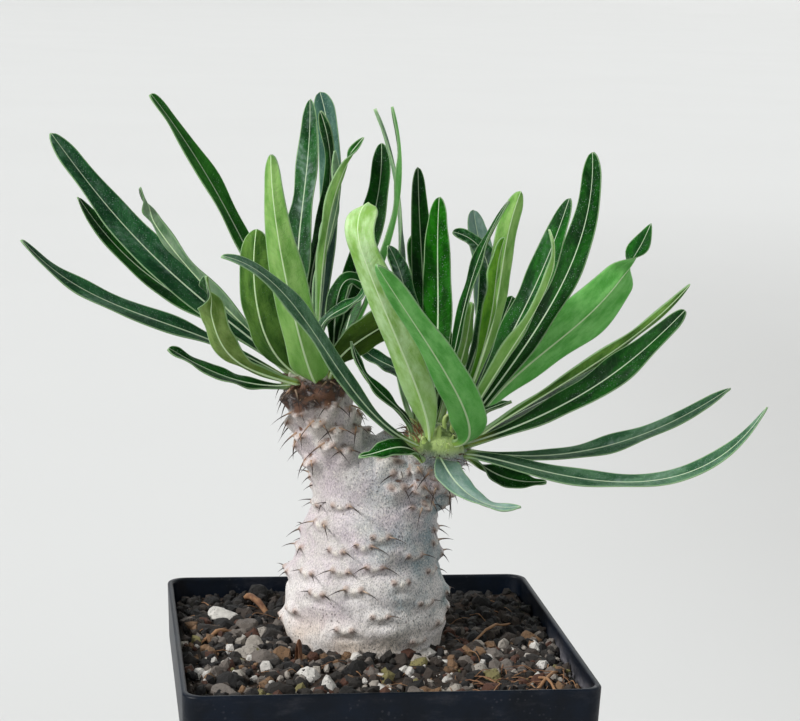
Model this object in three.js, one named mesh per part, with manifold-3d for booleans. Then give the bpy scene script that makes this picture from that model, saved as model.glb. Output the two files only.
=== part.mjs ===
// Potted Pachypodium gracilius: a spiny bottle trunk with two leafy crowns in a square nursery pot.
// Units are millimetres. The origin is the middle of the pot's underside, with +Z up and +Y to the back.
import * as THREE from 'three';
import { mergeVertices } from 'three/addons/utils/BufferGeometryUtils.js';
import Module from 'manifold-3d';

const wasm = await Module();
wasm.setup();

// Driving dimensions of the pot
const POT_SIZE = 90;
const POT_HEIGHT = 80;
const POT_WALL = 1.3;
const POT_FLOOR = 1.8;
const POT_CORNER = 4;
const BASE_SIZE = 67;
const BASE_EDGE = 0.8;
const COLLAR_HEIGHT = 14;
const COLLAR_STEP = 1.5;
const COLLAR_DRAFT = 0.5;
const LIP_ROUND = 0.4;
const DRAIN_RADIUS = 3.5;
const DRAIN_OFFSET = 22;

// Driving dimensions of the soil
const FIT_GAP = 0.3;
const SOIL_TOP = 75.4;
const GRAIN_COUNT = 110;
const GRAIN_SIZES = [1.6, 3.3];
const FINE_GRAIN = 2.2;
const GRAIN_SQUASH = [0.65, 0.95];
const GRAIN_DEPTH = [0.6, 1];
const GRAIN_TILT = [-0.4, 0.4];
const GRAIN_RISE = 0.15;

// Driving dimensions of the trunk, its two branches and their crowns
const TRUNK_Y = 7.5;
const TRUNK_LEAN = { from: 98, slope: 0.12 };
const TRUNK_SIDES = 24;
const BRANCH_SIDES = 12;
const BRANCH_STEPS = 7;
const LEFT_CROWN = { centre: new THREE.Vector3(-14, 3, 137.5), radius: 5.8 };
const RIGHT_CROWN = { centre: new THREE.Vector3(14.5, 0.5, 122), radius: 6.8 };

// Driving dimensions of the leaves
const BLADE_THICKNESS = 0.7;
const MIDRIB_THICKNESS = 1.1;
const PETIOLE_SHARE = 0.24;
const BLADE_FOLD = 12;
const BLADE_WAVE = 0.3;
const BLADE_RIPPLES = 2.9;
const TIP_POWER = 1.6;
const TIP_LENGTH = 0.08;
const USUAL_BROAD = 0.55;
const USUAL_TAPER = 0.5;
const USUAL_POINT = 0.5;
const CURL_START = 0.8;
const TWIST_RANGE = [0.8, 0.95];
const PHASE_STEP = 1.7;
const SEAT_DEPTH = 0.4;
const LEAST_WIDTH = 0.2;

const COLOURS = {
  pot: 0x23252b,
  soil: 0x5a4a3e,
  bark: 0xa79a93,
  deep: 0x2f6b35,
  bright: 0x3f8f3a,
  pale: 0x86b552,
  olive: 0x6f8038,
  silver: 0x6f9486,
};

const rad = THREE.MathUtils.degToRad;

// Repeatable draws of numbers: from 0 to 1, and from a range
function seededRandom(seed) {
  let state = seed;
  return () => {
    state = (state * 1664525 + 1013904223) % 4294967296;
    return state / 4294967296;
  };
}

function pick([low, high], random) {
  return THREE.MathUtils.lerp(low, high, random());
}

// Closed bodies and their joins and cuts
function solidFrom(geometry) {
  const bare = geometry.clone();
  bare.deleteAttribute('normal');
  bare.deleteAttribute('uv');
  const merged = mergeVertices(bare, 1e-4);
  const vertProperties = new Float32Array(merged.attributes.position.array);
  const triVerts = new Uint32Array(merged.index.array);
  return new wasm.Manifold(new wasm.Mesh({ numProp: 3, vertProperties, triVerts }));
}

function geometryFrom(solid) {
  const mesh = solid.getMesh();
  const geometry = new THREE.BufferGeometry();
  geometry.setAttribute('position', new THREE.BufferAttribute(new Float32Array(mesh.vertProperties), 3));
  geometry.setIndex(new THREE.BufferAttribute(new Uint32Array(mesh.triVerts), 1));
  return geometry;
}

function namedMesh(name, geometry, colour, roughness) {
  const material = new THREE.MeshStandardMaterial({ color: colour, roughness, metalness: 0 });
  const mesh = new THREE.Mesh(geometry, material);
  mesh.name = name;
  return mesh;
}

// A skin over rings of equal count, closed at both ends by flat fans
function loftGeometry(rings) {
  const count = rings[0].length;
  const points = rings.flat();
  const faces = [];
  for (let row = 0; row < rings.length - 1; row += 1) {
    for (let i = 0; i < count; i += 1) {
      const next = (i + 1) % count;
      const a = row * count + i;
      const b = row * count + next;
      faces.push(a, b, b + count, a, b + count, a + count);
    }
  }
  const last = (rings.length - 1) * count;
  for (let i = 1; i < count - 1; i += 1) {
    faces.push(0, i + 1, i);
    faces.push(last, last + i, last + i + 1);
  }
  const geometry = new THREE.BufferGeometry().setFromPoints(points);
  geometry.setIndex(faces);
  return geometry;
}

// The square pot: one closed skin up the outside, over the lip and down to the floor
function squareRing(half, corner, z) {
  const ring = [];
  const steps = 4;
  const inset = half - corner;
  for (let quarter = 0; quarter < 4; quarter += 1) {
    const start = rad(90 * quarter);
    const middle = start + rad(45);
    const centreX = inset * Math.SQRT2 * Math.cos(middle);
    const centreY = inset * Math.SQRT2 * Math.sin(middle);
    for (let i = 0; i <= steps; i += 1) {
      const angle = start + rad(90) * i / steps;
      const x = centreX + corner * Math.cos(angle);
      const y = centreY + corner * Math.sin(angle);
      ring.push(new THREE.Vector3(x, y, z));
    }
  }
  return ring;
}

// Half widths of the outer wall from the base up to the lip
const collarFoot = POT_HEIGHT - COLLAR_HEIGHT;
const outerProfile = [
  { half: BASE_SIZE / 2 - BASE_EDGE, z: 0 },
  { half: BASE_SIZE / 2, z: BASE_EDGE },
  { half: POT_SIZE / 2 - COLLAR_DRAFT - COLLAR_STEP, z: collarFoot - 0.6 },
  { half: POT_SIZE / 2 - COLLAR_DRAFT, z: collarFoot },
  { half: POT_SIZE / 2, z: POT_HEIGHT - LIP_ROUND },
  { half: POT_SIZE / 2 - LIP_ROUND, z: POT_HEIGHT },
];
const innerProfile = [
  { half: BASE_SIZE / 2 - POT_WALL, z: POT_FLOOR },
  { half: POT_SIZE / 2 - COLLAR_DRAFT - COLLAR_STEP - POT_WALL, z: collarFoot },
  { half: POT_SIZE / 2 - COLLAR_DRAFT - POT_WALL, z: collarFoot + 1 },
  { half: POT_SIZE / 2 - POT_WALL, z: POT_HEIGHT - LIP_ROUND },
  { half: POT_SIZE / 2 - POT_WALL + LIP_ROUND / 2, z: POT_HEIGHT },
];

function cornerAt(half) {
  return POT_CORNER * half * 2 / POT_SIZE;
}

function potMesh() {
  const outside = outerProfile.map(({ half, z }) => squareRing(half, cornerAt(half), z));
  const inside = innerProfile.map(({ half, z }) => squareRing(half, cornerAt(half), z));
  let pot = solidFrom(loftGeometry([...outside, ...inside.reverse()]));
  for (const x of [-DRAIN_OFFSET, DRAIN_OFFSET]) {
    for (const y of [-DRAIN_OFFSET, DRAIN_OFFSET]) {
      const drain = new THREE.CylinderGeometry(DRAIN_RADIUS, DRAIN_RADIUS, 4 * POT_FLOOR, 12);
      drain.rotateX(rad(90));
      drain.translate(x, y, 0);
      pot = pot.subtract(solidFrom(drain));
    }
  }
  return namedMesh('pot', geometryFrom(pot), COLOURS.pot, 0.45);
}

// Trunk silhouette: height, sideways place of the middle, and radius
const trunkRows = [
  { z: 64, x: 0.4, radius: 14.5 },
  { z: 70, x: 0.4, radius: 16.2 },
  { z: 75, x: 0.2, radius: 17.5 },
  { z: 78.6, x: -0.2, radius: 18.5 },
  { z: 82, x: -0.2, radius: 18.9 },
  { z: 85, x: -0.1, radius: 18.9 },
  { z: 88.5, x: 0.3, radius: 18.4 },
  { z: 92, x: -0.1, radius: 18.0 },
  { z: 95.5, x: 0.4, radius: 16.9 },
  { z: 99, x: 0.7, radius: 16.2 },
  { z: 103, x: 0.8, radius: 15.7 },
  { z: 106.5, x: 1.3, radius: 14.6 },
  { z: 110, x: 2.2, radius: 13.8 },
  { z: 113.5, x: 2.0, radius: 14.4 },
  { z: 117, x: 1.4, radius: 14.9 },
  { z: 120, x: 1.0, radius: 13.6 },
  { z: 122, x: 0.6, radius: 11 },
  { z: 123.4, x: 0.3, radius: 7 },
  { z: 124, x: 0.2, radius: 3 },
];
const TRUNK_DEPTH = { share: 0.92, from: 104, slope: 0.018 };

// Low rolls and hollows run round the trunk
function trunkSwell(angle, z) {
  const rolls = 0.3 * Math.sin(z * 0.72 + 1.3 * Math.sin(2 * angle + 0.6));
  const lobes = 0.35 * Math.sin(3 * angle + z * 0.05);
  return rolls + lobes;
}

// The top of the trunk leans a little to the front
function trunkMiddleY(z) {
  return TRUNK_Y - TRUNK_LEAN.slope * Math.max(0, z - TRUNK_LEAN.from);
}

// Front to back the trunk is slimmer than it is wide, most of all at the fork
function trunkDepth(z) {
  return TRUNK_DEPTH.share - TRUNK_DEPTH.slope * Math.max(0, z - TRUNK_DEPTH.from);
}

function trunkRing({ z, x, radius }, extra = 0) {
  const ring = [];
  for (let i = 0; i < TRUNK_SIDES; i += 1) {
    const angle = 2 * Math.PI * i / TRUNK_SIDES;
    const reach = radius + trunkSwell(angle, z) * Math.min(1, radius / 14) + extra;
    const px = x + reach * Math.cos(angle);
    const py = trunkMiddleY(z) + reach * trunkDepth(z) * Math.sin(angle);
    ring.push(new THREE.Vector3(px, py, z));
  }
  return ring;
}

// Branch routes, from inside the trunk up to the crown
const leftBranch = [
  { at: [-3.4, 6.2, 107], radius: 9.4 },
  { at: [-6.4, 5.2, 117], radius: 7.9 },
  { at: [-9.8, 4.4, 124.5], radius: 6.6 },
  { at: [-12, 3.6, 131], radius: 6.5 },
  { at: LEFT_CROWN.centre.toArray(), radius: LEFT_CROWN.radius },
];
const rightBranch = [
  { at: [5, 6, 104], radius: 10.4 },
  { at: [8.2, 4.4, 112], radius: 8.7 },
  { at: [11.4, 2.6, 117.4], radius: 7.3 },
  { at: RIGHT_CROWN.centre.toArray(), radius: RIGHT_CROWN.radius },
];

// A round branch along its route, ending in a half-sphere crown. Extra widens it all over.
const CROWN_TURNS = [25, 48, 68, 84];

function branchRings(route, extra = 0) {
  const curve = new THREE.CatmullRomCurve3(route.map(({ at }) => new THREE.Vector3(...at)));
  const last = route.length - 1;
  const rings = [];
  const side = new THREE.Vector3(0, -1, 0);
  const addRing = (centre, direction, reach) => {
    const radius = reach + extra;
    const across = side.clone().cross(direction).normalize();
    const other = direction.clone().cross(across);
    const ring = [];
    for (let i = 0; i < BRANCH_SIDES; i += 1) {
      const angle = 2 * Math.PI * i / BRANCH_SIDES;
      const point = centre.clone().addScaledVector(across, radius * Math.cos(angle));
      ring.push(point.addScaledVector(other, radius * Math.sin(angle)));
    }
    rings.push(ring);
  };
  for (let i = 0; i <= BRANCH_STEPS; i += 1) {
    const share = i / BRANCH_STEPS * last;
    const leg = Math.min(Math.floor(share), last - 1);
    const radius = THREE.MathUtils.lerp(route[leg].radius, route[leg + 1].radius, share - leg);
    addRing(curve.getPoint(i / BRANCH_STEPS), curve.getTangent(i / BRANCH_STEPS), radius);
  }
  const top = new THREE.Vector3(...route[last].at);
  const up = curve.getTangent(1);
  for (const turn of CROWN_TURNS) {
    const centre = top.clone().addScaledVector(up, (route[last].radius + extra) * Math.sin(rad(turn)));
    addRing(centre, up, route[last].radius * Math.cos(rad(turn)));
  }
  return rings;
}

// Spines stand in pairs on low cushions, turned out and a little down
const SPINE_RADIUS = 0.5;
const SPINE_SPREAD = 48;
const SPINE_SUNK = 1.6;
const SPINE_APART = 1.3;
const TRUNK_DROOP = [12, 34];
const BRANCH_DROOP = [10, 45];
const BRANCH_LENGTHS = [3.5, 6.5];
const SPINE_AXIS = new THREE.Vector3(0, 1, 0);
const CUSHION = { width: 2.3, height: 1.2, depth: 1.3 };

function spineGeometry(root, direction, length) {
  const spine = new THREE.ConeGeometry(SPINE_RADIUS, length + SPINE_SUNK, 3);
  spine.translate(0, (length - SPINE_SUNK) / 2, 0);
  spine.applyQuaternion(new THREE.Quaternion().setFromUnitVectors(SPINE_AXIS, direction));
  spine.translate(root.x, root.y, root.z);
  return spine;
}

function cushionGeometry(root, outward) {
  const cushion = new THREE.OctahedronGeometry(1, 0);
  cushion.scale(CUSHION.width, CUSHION.height, CUSHION.depth);
  const turn = new THREE.Matrix4().lookAt(outward, new THREE.Vector3(), new THREE.Vector3(0, 0, 1));
  cushion.applyMatrix4(turn);
  cushion.translate(root.x, root.y, root.z);
  return cushion;
}

function spinePair(root, outward, lengths, droop) {
  const across = new THREE.Vector3(0, 0, 1).cross(outward).normalize();
  const pieces = [cushionGeometry(root, outward)];
  for (const [i, length] of lengths.entries()) {
    const direction = outward.clone().applyAxisAngle(across, rad(droop));
    direction.applyAxisAngle(new THREE.Vector3(0, 0, 1), rad((2 * i - 1) * SPINE_SPREAD));
    const start = root.clone().addScaledVector(across, (2 * i - 1) * SPINE_APART);
    pieces.push(spineGeometry(start, direction.normalize(), length));
  }
  return pieces;
}

// Pairs on the trunk's front: bearing, height, and the lengths of the left and the right spine
const frontPairs = [
  [-134, 110, 5.5, 6.5],
  [-150, 105.3, 5, 6],
  [-75, 117.8, 5, 2],
  [-44, 118, 3, 3],
  [-56, 114, 5, 6],
  [-30, 113.8, 5.5, 6],
  [-59, 110, 3.5, 4.5],
  [-17, 109, 5, 5.5],
  [-11, 112.5, 4.5, 5],
  [-173, 98.4, 5.5, 4],
  [-126, 99.9, 2, 4],
  [-103, 101.7, 2, 5],
  [-90, 103.8, 1.5, 4.5],
  [-61, 99.2, 3, 4],
  [-32, 100.9, 3, 4.5],
  [-12, 96.9, 4, 4.5],
  [-93, 97, 4, 4.5],
  [-119, 95.6, 4, 3.5],
  [-149, 93.9, 3, 4.5],
  [175, 91.7, 5, 4],
  [-106, 91.8, 4.5, 5],
  [-135, 89.9, 3, 5],
  [-17, 88.3, 3.5, 2.5],
  [-52, 88.1, 1.2, 3],
  [-87, 85.8, 1.2, 3.5],
  [-13, 84.3, 3.5, 3],
  [177, 80.9, 2.5, 2],
  [177, 115.1, 6, 5],
  [-168, 109.1, 6, 5],
  [-26, 103.7, 4, 4],
];

// Pairs on its back stand in rows, longer the higher they are
const BACK_ROWS = { count: 5, from: 82, step: 8, pairs: 4, bearing: 12, turn: 37 };
const BACK_LENGTHS = { low: 1.5, more: 4.5, from: 78, over: 26 };

function trunkRadiusAt(z) {
  const upper = trunkRows.findIndex((row) => row.z >= z);
  const low = trunkRows[upper - 1];
  const high = trunkRows[upper];
  const share = (z - low.z) / (high.z - low.z);
  return {
    x: THREE.MathUtils.lerp(low.x, high.x, share),
    radius: THREE.MathUtils.lerp(low.radius, high.radius, share),
  };
}

function trunkPair(bearing, height, lengths, random) {
  const angle = rad(bearing);
  const { x, radius } = trunkRadiusAt(height);
  const reach = radius + trunkSwell(angle, height) - 0.2;
  const px = x + reach * Math.cos(angle);
  const py = trunkMiddleY(height) + reach * trunkDepth(height) * Math.sin(angle);
  const outward = new THREE.Vector3(Math.cos(angle), Math.sin(angle), 0);
  return spinePair(new THREE.Vector3(px, py, height), outward, lengths, pick(TRUNK_DROOP, random));
}

function trunkSpines(random) {
  const pieces = frontPairs.flatMap(([bearing, height, ...lengths]) => (
    trunkPair(bearing, height, lengths, random)
  ));
  for (let row = 0; row < BACK_ROWS.count; row += 1) {
    for (let i = 0; i < BACK_ROWS.pairs; i += 1) {
      const turned = BACK_ROWS.bearing + BACK_ROWS.turn * (i + 0.5 * (row % 2));
      const bearing = turned + pick([-5, 5], random);
      const height = BACK_ROWS.from + BACK_ROWS.step * row + pick([-1, 1], random);
      const ripe = Math.min(1, (height - BACK_LENGTHS.from) / BACK_LENGTHS.over);
      const grown = BACK_LENGTHS.low + BACK_LENGTHS.more * ripe;
      const lengths = [grown * pick([0.6, 1.1], random), grown * pick([0.6, 1.1], random)];
      pieces.push(...trunkPair(bearing, height, lengths, random));
    }
  }
  return pieces;
}

function branchSpines(route, shares, pairs, random) {
  const curve = new THREE.CatmullRomCurve3(route.map(({ at }) => new THREE.Vector3(...at)));
  const last = route.length - 1;
  const pieces = [];
  for (const [row, share] of shares.entries()) {
    const centre = curve.getPoint(share);
    const direction = curve.getTangent(share);
    const leg = Math.min(Math.floor(share * last), last - 1);
    const radius = THREE.MathUtils.lerp(route[leg].radius, route[leg + 1].radius, share * last - leg);
    for (let i = 0; i < pairs; i += 1) {
      const angle = 2 * Math.PI * (i + 0.5 * (row % 2) + 0.2 * (random() - 0.5)) / pairs;
      const outward = new THREE.Vector3(Math.cos(angle), Math.sin(angle), 0);
      outward.addScaledVector(direction, -outward.dot(direction)).normalize();
      const root = centre.clone().addScaledVector(outward, radius - 0.25);
      const pair = [pick(BRANCH_LENGTHS, random), pick(BRANCH_LENGTHS, random)];
      pieces.push(...spinePair(root, outward, pair, pick(BRANCH_DROOP, random)));
    }
  }
  return pieces;
}

function caudexMesh() {
  const random = seededRandom(41);
  let caudex = solidFrom(loftGeometry(trunkRows.map((row) => trunkRing(row))));
  const branches = [leftBranch, rightBranch].map((route) => solidFrom(loftGeometry(branchRings(route))));
  const spines = [
    ...trunkSpines(random),
    ...branchSpines(leftBranch, [0.48, 0.62, 0.76, 0.9], 5, random),
    ...branchSpines(rightBranch, [0.44, 0.62, 0.8], 5, random),
  ];
  for (const branch of branches) {
    caudex = caudex.add(branch);
  }
  for (const piece of spines) {
    caudex = caudex.add(solidFrom(piece));
  }
  return namedMesh('caudex', geometryFrom(caudex), COLOURS.bark, 0.75);
}

// The soil fills the pot and has a plain hole for the trunk
function grainGeometry(x, y, size, squash, random) {
  const Form = size > FINE_GRAIN ? THREE.IcosahedronGeometry : THREE.OctahedronGeometry;
  const grain = new Form(size, 0);
  grain.scale(1, pick(GRAIN_DEPTH, random), squash);
  grain.rotateX(pick(GRAIN_TILT, random));
  grain.rotateY(pick(GRAIN_TILT, random));
  grain.rotateZ(2 * Math.PI * random());
  grain.translate(x, y, SOIL_TOP + GRAIN_RISE * size);
  return grain;
}

// Stones that stand out among the grains: place, size and squash
const bigStones = [
  { x: -25, y: -9, size: 4.6, squash: 0.6 },
  { x: -35, y: -32, size: 4.4, squash: 0.5 },
  { x: -33, y: 25, size: 3.8, squash: 0.7 },
  { x: -16, y: -22, size: 3.0, squash: 0.9 },
  { x: 28, y: -9, size: 3.4, squash: 0.7 },
  { x: -5, y: -19, size: 3.2, squash: 0.7 },
];

// Bark strip and root pieces that lie half sunk: both ends and thickness
const litter = [
  { from: [-27, 39], to: [-21, 28], radius: 0.9 },
  { from: [23, -2], to: [36, 15], radius: 0.5 },
  { from: [30, -36], to: [41, -20], radius: 0.5 },
  { from: [37, -38], to: [33, -24], radius: 0.5 },
  { from: [-39, 4], to: [-31, 12], radius: 0.6 },
];

function litterGeometry({ from, to, radius }) {
  const start = new THREE.Vector3(...from, SOIL_TOP);
  const end = new THREE.Vector3(...to, SOIL_TOP + radius);
  const path = new THREE.LineCurve3(start, end);
  const section = new THREE.Shape();
  section.absarc(0, 0, radius, 0, 2 * Math.PI);
  return new THREE.ExtrudeGeometry(section, { steps: 1, curveSegments: 3, extrudePath: path });
}

function soilMesh() {
  const random = seededRandom(7);
  const inside = innerProfile.slice(0, 3).map(({ half, z }) => ({ half: half - FIT_GAP, z }));
  inside[0].z += FIT_GAP;
  const top = { half: inside[2].half, z: SOIL_TOP };
  const rings = [...inside, top].map(({ half, z }) => squareRing(half, cornerAt(half), z));
  let soil = solidFrom(loftGeometry(rings));
  const clearOf = ({ x, y, size }) => {
    const wall = Math.max(Math.abs(x), Math.abs(y)) + size < top.half - 0.4;
    const corner = Math.abs(x) + Math.abs(y) + size < 2 * top.half - POT_CORNER;
    return wall && corner;
  };
  const grains = bigStones.map((stone) => ({ ...stone }));
  while (grains.length < GRAIN_COUNT) {
    const size = THREE.MathUtils.lerp(GRAIN_SIZES[0], GRAIN_SIZES[1], random() ** 2);
    const x = POT_SIZE * (random() - 0.5);
    const y = POT_SIZE * (random() - 0.5);
    const grain = { x, y, size, squash: pick(GRAIN_SQUASH, random) };
    const apart = grains.every((other) => Math.hypot(other.x - x, other.y - y) > 0.8 * (other.size + size));
    const outsideTrunk = Math.hypot(x, y - TRUNK_Y) > trunkRows[2].radius - 1;
    if (apart && outsideTrunk && clearOf(grain)) {
      grains.push(grain);
    }
  }
  for (const { x, y, size, squash } of grains) {
    soil = soil.add(solidFrom(grainGeometry(x, y, size, squash, random)));
  }
  for (const piece of litter) {
    soil = soil.add(solidFrom(litterGeometry(piece)));
  }
  const hole = trunkRows.slice(0, 8).map((row) => trunkRing(row, FIT_GAP));
  hole[0].forEach((point) => point.setZ(point.z - FIT_GAP));
  soil = soil.subtract(solidFrom(loftGeometry(hole)));
  return namedMesh('soil', geometryFrom(soil), COLOURS.soil, 0.95);
}

// One row for each leaf: seat, knee, bow, tip, width, roll, colour and what sets it apart.
// The seat is the bearing and height in degrees of the root on its crown. The rib passes knee and
// bow at one and two thirds of its way and ends at the tip. Roll turns the blade about its rib, at
// the root and at the tip, away from facing up and in. Curl bends the last fifth, and twist turns
// the last part over. Broad is where the blade reaches its full width, taper the share over which
// it narrows again, and point how much it narrows there.
const leftLeaves = [
  [[150, 40], [-28, 9, 164], [-39, 12, 184], [-51, 13, 201], 6, [-30, -30], 'deep'],
  [[170, 25], [-41, 6, 157], [-57, 10, 172], [-73, 12, 192], 8, [-55, -50], 'deep', { broad: 0.4 }],
  [[150, 10], [-36, 14, 150], [-52, 19, 160], [-67, 20, 177], 6, [-40, -35], 'deep'],
  [[-175, 0], [-42, 0, 149], [-62, -2, 157], [-79, -3, 170], 6.5, [-30, -35], 'deep', { point: 0.7 }],
  [
    [-135, 5], [-31, -9, 144], [-37, -16, 152], [-40, -22, 165], 6.4, [50, 5], 'olive',
    { twist: 150, broad: 0.7, point: 0.15 },
  ],
  [
    [-167, 36], [-32, -1.5, 153.5], [-45.5, 2.5, 167.5], [-53.5, 3, 181], 3.6, [30, 60], 'silver',
    { twist: 150, point: 0.4 },
  ],
  [
    [-90, 20], [-17.5, -9, 147], [-23.4, -18, 168.5], [-26.5, -22, 191], 9.2, [15, 5], 'pale',
    { broad: 0.25, taper: 0.65, point: 0.72 },
  ],
  [
    [-140, 30], [-25, -5, 148.5], [-28.5, -10, 161], [-28.5, -12, 174], 8.5, [25, 5], 'olive',
    { broad: 0.3, taper: 0.35 },
  ],
  [[-155, -5], [-29, -2, 138], [-38, -2, 141], [-47, -2, 146], 5, [-25, -30], 'deep'],
  [[2, 38], [-9, 6, 151], [-7, 9, 159], [-1, 8, 158], 5.5, [15, 5], 'deep'],
  [[-15, 60], [-12, 2, 151], [-7, 1, 155], [-3, -1, 160], 5.5, [25, 25], 'deep'],
  [[-45, 20], [-8, -5, 146], [-1.5, -6, 151], [6, -6.5, 156], 7.6, [-70, -65], 'olive', { taper: 0.3 }],
  [
    [110, 50], [-17, 14, 162], [-15, 21, 180], [-14, 24, 200], 7, [-30, -30], 'silver',
    { broad: 0.4, taper: 0.6 },
  ],
  [
    [70, 25], [-10, 20, 160], [-8, 30, 181], [-10.5, 36, 201], 6, [-55, -20], 'silver',
    { point: 0.2 },
  ],
  [[95, 30], [-13, 17, 162], [-9, 24, 179], [-11, 29, 197], 5, [-30, -55], 'deep'],
  [
    [65, 75], [-12.6, 6, 164.5], [-9.4, 9, 181], [-3, 10, 192.5], 3.4, [-80, -70], 'bright',
    { twist: 120, point: 0.6 },
  ],
  [[75, 50], [-12, 12, 162], [-8.6, 16, 176], [-8.8, 19, 188.5], 5.4, [-105, -105], 'silver'],
  [[50, 15], [-4, 20, 156], [2, 28, 172], [4, 32, 189.5], 7, [10, -5], 'deep'],
  [[25, 25], [1, 12, 161], [6, 16, 180], [4, 17, 199], 5, [-55, -62], 'bright', { point: 0.85 }],
  [[120, 10], [-21, 22, 143], [-23, 36, 147], [-24, 50, 150], 7, [0, 0], 'deep'],
  [[75, 5], [-6, 22, 142.5], [-2, 38, 146], [1, 52, 149], 7, [0, 0], 'deep'],
  [[98, 0], [-14, 22, 144], [-14, 38, 148], [-13.5, 54, 152], 6.5, [0, 0], 'deep'],
];
const rightLeaves = [
  [[-142, 16], [-8, -17, 140], [-22, -32, 160], [-38, -42, 172], 6, [-75, -60], 'silver', { point: 0.7 }],
  [[126, 27], [7, 18, 145], [8, 23, 168], [1.6, 26, 198], 4, [60, 45], 'silver', { point: 0.85 }],
  [[160, 48], [9, 7, 145], [7, 9, 158], [3, 9, 168], 5.5, [-20, -30], 'silver'],
  [
    [-122, 35], [6.8, -12, 141], [-3.6, -23, 163], [-11, -27, 183.5], 7.4, [30, 10], 'pale',
    { curl: 110, broad: 0.3, taper: 0.3, point: 0.1 },
  ],
  [
    [-60, 28], [18, -15, 134.5], [6, -30, 153.5], [-6.5, -45, 171], 8.6, [20, 5], 'bright',
    { broad: 0.28, taper: 0.7, point: 0.6 },
  ],
  [[-168, 24], [5, -4, 132], [-2, -8, 139], [-7, -9, 149], 3.8, [-35, -60], 'deep', { point: 0.8 }],
  [[152, 34], [8, 9, 137], [3, 14, 140], [-4, 17, 146], 5, [-15, -15], 'deep'],
  [[110, 45], [13, 13, 147], [12, 18, 166], [11, 20, 185], 5.5, [0, 0], 'deep'],
  [[92, 34], [18, 14, 144], [13, 21, 157], [11, 22, 169], 5, [5, 10], 'deep'],
  [
    [120, 65], [15, 8, 148], [15, 11, 163], [15, 12, 179], 6.8, [-15, -15], 'bright',
    { broad: 0.4, taper: 0.35 },
  ],
  [[55, 15], [29, 24, 145], [30, 34, 160], [28, 40, 173], 7.6, [40, 20], 'silver'],
  [[70, 30], [27, 18, 147], [29, 25, 162], [21, 28, 169], 5.5, [50, -10], 'silver'],
  [
    [45, 35], [28, 12, 149], [31, 16, 164], [35, 18, 180], 5.6, [-125, -115], 'pale',
    { taper: 0.3, point: 0.35 },
  ],
  [[45, 85], [19, 3, 148], [23, 5, 164], [30, 6, 179], 5.4, [-10, 0], 'deep', { point: 0.8 }],
  [[30, 50], [26, 8, 148], [28, 10, 160], [30, 11, 170], 5, [-85, -80], 'deep'],
  [[80, 62], [20, 8, 140], [22, 10, 147], [23, 10, 155], 3.5, [-130, -110], 'deep'],
  [[-5, 40], [29, 1, 145], [36.5, 0, 162], [42.6, -1, 180.5], 7.2, [45, 45], 'bright', { taper: 0.35 }],
  [[15, 30], [36, 7, 146], [47, 9, 167], [50, 10, 190], 7.6, [30, 30], 'deep', { taper: 0.4 }],
  [
    [-48, 34], [27.5, -9, 146], [35, -13, 162], [35, -15, 175], 4.4, [-30, 5], 'pale',
    { broad: 0.3, taper: 0.75, point: 0.9 },
  ],
  [
    [24, 14], [37, 13, 139.5], [54, 18, 152.5], [67.5, 21, 172.5], 12.2, [-90, -105], 'bright',
    { twist: 150, broad: 0.66, taper: 0.4, point: 0.8 },
  ],
  [[0, 15], [39.5, 2, 135.4], [57, 1, 147.2], [72, 1, 161], 3.4, [-45, -85], 'deep', { point: 0.7 }],
  [[-20, 15], [41, -6, 133.4], [56.5, -7, 144], [69, -7, 156], 8, [45, 45], 'bright', { point: 0.65 }],
  [[14, -2], [43, 4, 120], [64, 4, 125], [84, 4, 136], 5.6, [30, 25], 'deep', { point: 0.7 }],
  [
    [-30, -5], [36, -9, 119.5], [63, -13, 118], [87.5, -13, 135], 5.6, [20, 30], 'silver',
    { broad: 0.4, point: 0.6 },
  ],
  [[-10, -5], [27, 1, 117], [33, 0, 115], [40, -1, 115], 5.2, [35, 35], 'deep', { point: 0.8 }],
  [
    [-95, -5], [15, -14, 120], [19.5, -21, 116], [29, -26, 115.5], 6.5, [-45, 60], 'silver',
    { broad: 0.35, taper: 0.7, point: 0.85 },
  ],
  [
    [-125, -10], [5, -10, 125], [0, -13, 125], [-5.5, -14, 124], 5.2, [-10, -60], 'deep',
    { broad: 0.4, taper: 0.6, point: 0.85 },
  ],
  [[106, 19], [17, 20, 136], [16, 36, 144], [16, 50, 151], 6.5, [0, 0], 'deep'],
  [[80, 6], [26, 21, 133], [34, 38, 141], [41, 52, 150], 7, [0, 0], 'deep'],
  [[40, -8], [37, 18, 127], [52, 30, 131], [65, 42, 135], 7, [0, 0], 'deep'],
  [[-20, 42], [22.5, -2.7, 130.5], [26, -3.2, 132.6], [30.5, -3.6, 134.4], 2.6, [20, 20], 'olive'],
];
const BLADE_STATIONS = [0, 0.13, 0.27, 0.41, 0.55, 0.68, 0.8, 0.9, 0.965, 1];

// The rib's point and direction at a share of its way, on one cubic through its four places
function ribAt(places, share) {
  const [start, knee, bow, tip] = places;
  const first = new THREE.Vector3().addScaledVector(start, -5 / 6).addScaledVector(knee, 3);
  first.addScaledVector(bow, -1.5).addScaledVector(tip, 1 / 3);
  const second = new THREE.Vector3().addScaledVector(start, 1 / 3).addScaledVector(knee, -1.5);
  second.addScaledVector(bow, 3).addScaledVector(tip, -5 / 6);
  const curve = new THREE.CubicBezierCurve3(start, first, second, tip);
  return { point: curve.getPoint(share), direction: curve.getTangent(share) };
}

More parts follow.
